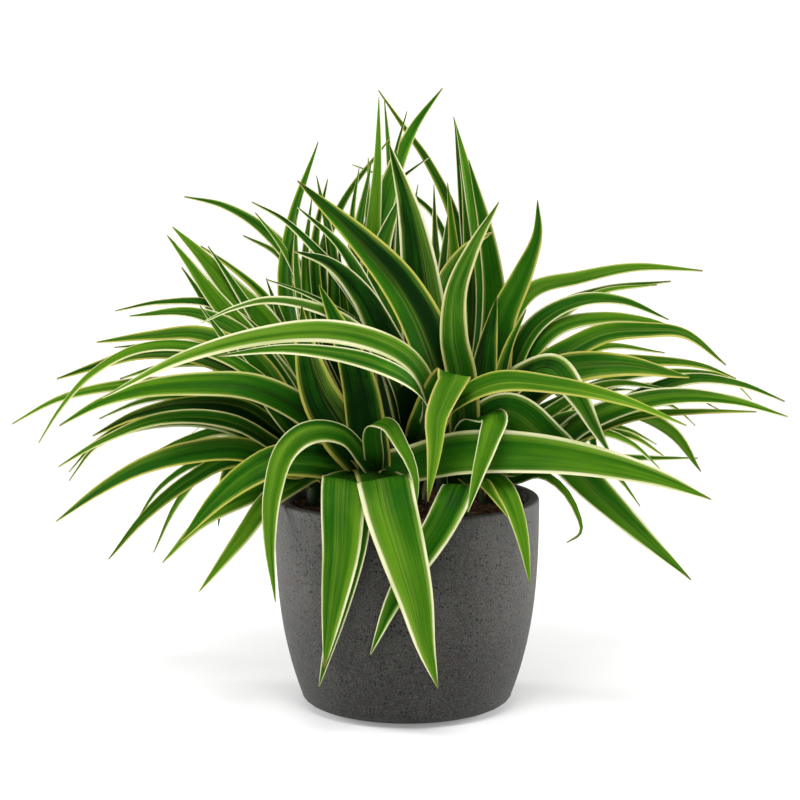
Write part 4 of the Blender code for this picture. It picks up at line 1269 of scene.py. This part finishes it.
@dataclass
class Soil:
    """The coir that fills the pot: an uneven bed with crumbs and fibres on it."""

    pot: Pot
    draw: random.Random
    level: float = 115 * MM
    dome: float = 3 * MM
    relief: float = 0.8 * MM
    wave: float = 7 * MM
    gap: float = 0.3 * MM
    rings: int = 34
    crumb_count: int = 900
    fibre_count: int = 320
    crumb_sizes: Point2 = (0.5 * MM, 1.9 * MM)
    fibre_lengths: Point2 = (5 * MM, 14 * MM)

    def __post_init__(self) -> None:
        """Works out the bed's radius."""
        self.radius = self.pot.radius_at(self.level) - self.pot.wall - self.gap

    def height_at(self, x: float, y: float) -> float:
        """The bed's height there: a low dome with waves and small lumps."""
        away = (x * x + y * y) / self.radius**2
        waves = math.sin(x / self.wave + 1) * math.cos(y / self.wave)
        waves += math.sin((x + 2 * y) / self.wave)
        lumps = noise.fractal(Vector((x, y, 0)) / (3.2 * MM), 0.8, 2.2, 4)
        return self.level + self.dome * (1 - away) + self.relief * waves / 2 + 0.55 * MM * lumps

    def spot(self, reach: float) -> Vector:
        """A drawn place on the bed, within this share of its radius."""
        radius = self.radius * reach * math.sqrt(self.draw.random())
        angle = self.draw.uniform(0, 2 * math.pi)
        x, y = radius * math.cos(angle), radius * math.sin(angle)
        return Vector((x, y, self.height_at(x, y)))

    def bed(self) -> bmesh.types.BMesh:
        """The soil's body."""
        low = self.pot.floor + self.pot.inner_corner
        top = [(self.radius * i / self.rings, self.level) for i in range(self.rings + 1)]
        side = [
            (self.pot.radius_at(z) - self.pot.wall - self.gap, z)
            for z in (lerp(self.level, low, i / 8) for i in range(1, 9))
        ]
        underside = self.pot.floor + self.gap
        foot = [(side[-1][0] - self.pot.inner_corner, underside), (0, underside)]
        bm = turned(top + side + foot, 144)
        for vertex in bm.verts:
            if vertex.co.z > self.level - 0.1 * MM:
                vertex.co.z = self.height_at(vertex.co.x, vertex.co.y)
        return bm

    def crumbs(self) -> bmesh.types.BMesh:
        """Small lumps strewn on the bed."""
        bm = bmesh.new()
        for _ in range(self.crumb_count):
            place = self.spot(0.97)
            size = lerp(*self.crumb_sizes, self.draw.random() ** 3)
            turn = Matrix.Rotation(self.draw.uniform(0, 6), 4, Vector((self.draw.random(), 1, 0.4)))
            flat = Matrix.Diagonal((1, self.draw.uniform(0.6, 1), self.draw.uniform(0.4, 0.8), 1))
            lump = bmesh.ops.create_icosphere(
                bm, subdivisions=1, radius=size, matrix=Matrix.Translation(place) @ turn @ flat
            )
            for vertex in lump["verts"]:
                vertex.co += (vertex.co - place) * self.draw.uniform(-0.35, 0.2)
        return bm

    def fibres(self) -> bmesh.types.BMesh:
        """Thin bent coir hairs that lie on the bed."""
        bm = bmesh.new()
        for _ in range(self.fibre_count):
            start = self.spot(0.93)
            heading = self.draw.uniform(0, 2 * math.pi)
            bend = self.draw.uniform(-1.6, 1.6)
            length = self.draw.uniform(*self.fibre_lengths)
            half = self.draw.uniform(0.10, 0.22) * MM
            grid = bmesh.ops.create_grid(bm, x_segments=1, y_segments=6, size=1)
            for vertex in grid["verts"]:
                along = (vertex.co.y + 1) / 2
                angle = heading + bend * along
                way = Vector((math.cos(angle), math.sin(angle), 0))
                across = Vector((-way.y, way.x, 0)) * vertex.co.x * half
                place = start + way * length * (along - 0.5) + across
                flat = math.hypot(place.x, place.y)
                if flat > self.radius * 0.98:
                    place *= self.radius * 0.98 / flat
                place.z = self.height_at(place.x, place.y) + lerp(0.2, 0.9, math.sin(math.pi * along)) * MM
                vertex.co = place
            hair = faces_round(grid["verts"])
            bmesh.ops.solidify(bm, geom=hair, thickness=2 * half)
        return bm

    def build(self, coir: bpy.types.Material, hair: bpy.types.Material) -> None:
        """Makes the bed, its crumbs and its fibres.

        Args:
            coir: The bed's and the crumbs' material.
            hair: The fibres' material.
        """
        piece_from(self.bed(), "soil_bed", coir, "soil", 60)
        piece_from(self.crumbs(), "soil_crumbs", coir, "soil", 50)
        piece_from(self.fibres(), "soil_fibres", hair, "soil", 60)


@dataclass
class Studio:
    """A pale floor, soft light and the photograph's point of view."""

    target: Vector = field(default_factory=lambda: Vector((-4, 0, 177.7)) * MM)
    lens: float = 119.25
    sweep: tuple[Point2, ...] = ((0, 0), (9, 0), (11.5, 0.5), (13, 2), (13.5, 5))
    surround: float = 0.45
    paper: Colour = (0.72, 0.72, 0.72, 1)
    near_glow: float = 0.20
    far_glow: float = 0.62
    glow_from: float = 250
    glow_full: float = 1900

    def floor(self) -> None:
        """The floor, which curves up far off and isn't part of the plant."""
        bm = turned(self.sweep, 96)
        mesh = bpy.data.meshes.new("studio_floor")
        bm.to_mesh(mesh)
        bm.free()
        floor = bpy.data.objects.new("studio_floor", mesh)
        bpy.context.scene.collection.objects.link(floor)
        graph = Graph("studio_paper")
        x, y, _ = graph.parts(graph.millimetres())
        away = (x * x + y * y).step(self.glow_from**2, self.glow_full**2)
        near = self.near_glow / self.far_glow
        graph.set(
            {
                "Base Color": self.paper,
                "Roughness": 0.9,
                "Emission Color": graph.mix(away, (near, near, near, 1), (1, 1, 1, 1)),
                "Emission Strength": self.far_glow,
            }
        )
        mesh.materials.append(graph.material)

    def light(self, name: str, place: Sequence[float], size: float, power: float) -> None:
        """A square soft light that looks at the plant.

        Args:
            name: Its name.
            place: Where it hangs, in metres.
            size: Its side, in metres.
            power: Its power, in watts.
        """
        lamp = bpy.data.lights.new(name, "AREA")
        lamp.shape = "SQUARE"
        lamp.size = size
        lamp.energy = power
        holder = bpy.data.objects.new(name, lamp)
        holder.location = place
        holder.rotation_euler = (self.target - Vector(place)).to_track_quat("-Z", "Y").to_euler()
        bpy.context.scene.collection.objects.link(holder)

    def camera(self) -> None:
        """The photograph's point of view."""
        data = bpy.data.cameras.new("photo_view")
        data.lens = self.lens
        data.sensor_width = 36
        data.clip_end = 100
        camera = bpy.data.objects.new("photo_view", data)
        camera.location = STANDPOINT
        camera.rotation_euler = (self.target - STANDPOINT).to_track_quat("-Z", "Y").to_euler()
        bpy.context.scene.collection.objects.link(camera)
        bpy.context.scene.camera = camera

    def surroundings(self) -> None:
        """An even white surround."""
        world = bpy.data.worlds.new("white_surround")
        world.use_nodes = True
        background = world.node_tree.nodes["Background"]
        background.inputs["Color"].default_value = (1, 1, 1, 1)
        background.inputs["Strength"].default_value = self.surround
        bpy.context.scene.world = world
        bpy.context.scene.view_settings.view_transform = "Standard"
        bpy.context.scene.view_settings.look = "None"

    def build(self) -> None:
        """Makes all of it."""
        self.camera()
        self.floor()
        self.surroundings()
        self.light("key", (-0.05, -1.0, 1.8), 0.8, 26)
        self.light("left_strip", (-1.2, 0.4, 0.27), 0.45, 19)
        self.light("right_strip", (1.2, 0.4, 0.27), 0.45, 19)


def solid_tree(node: str) -> BVHTree:
    """A tree of a node's mesh, to measure from."""
    return BVHTree.FromObject(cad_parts[node], bpy.context.evaluated_depsgraph_get())


def main() -> None:
    """Builds the pot, the soil and the crowns in order, then the studio."""
    Studio().build()
    pot = Pot()
    pot.build(ClayFinish().material())
    log.info("pot: one turned wall")
    hair = CoirFinish(name="coir_fibre", lightness=0.35).material()
    Soil(pot, random.Random(LOOKS_SEED)).build(CoirFinish().material(), hair)
    blade_material = BladeFinish().material()
    sheath_material = SheathFinish().material()
    draw = random.Random(SEED)
    for order, plantlet in enumerate(PLANTLETS):
        work = LeafWork(plantlet, solid_tree(plantlet.node))
        blades = work.blades(draw)
        worst = max(work.misfit(blade) for blade in blades)
        blades += work.slim()
        Crown(plantlet, blades, random.Random(LOOKS_SEED + order)).build(blade_material, sheath_material)
        log.info("%s: %d leaves, at most %.2f mm off its solid", plantlet.node, len(blades), worst / MM)


if __name__ == "__main__":
    main()
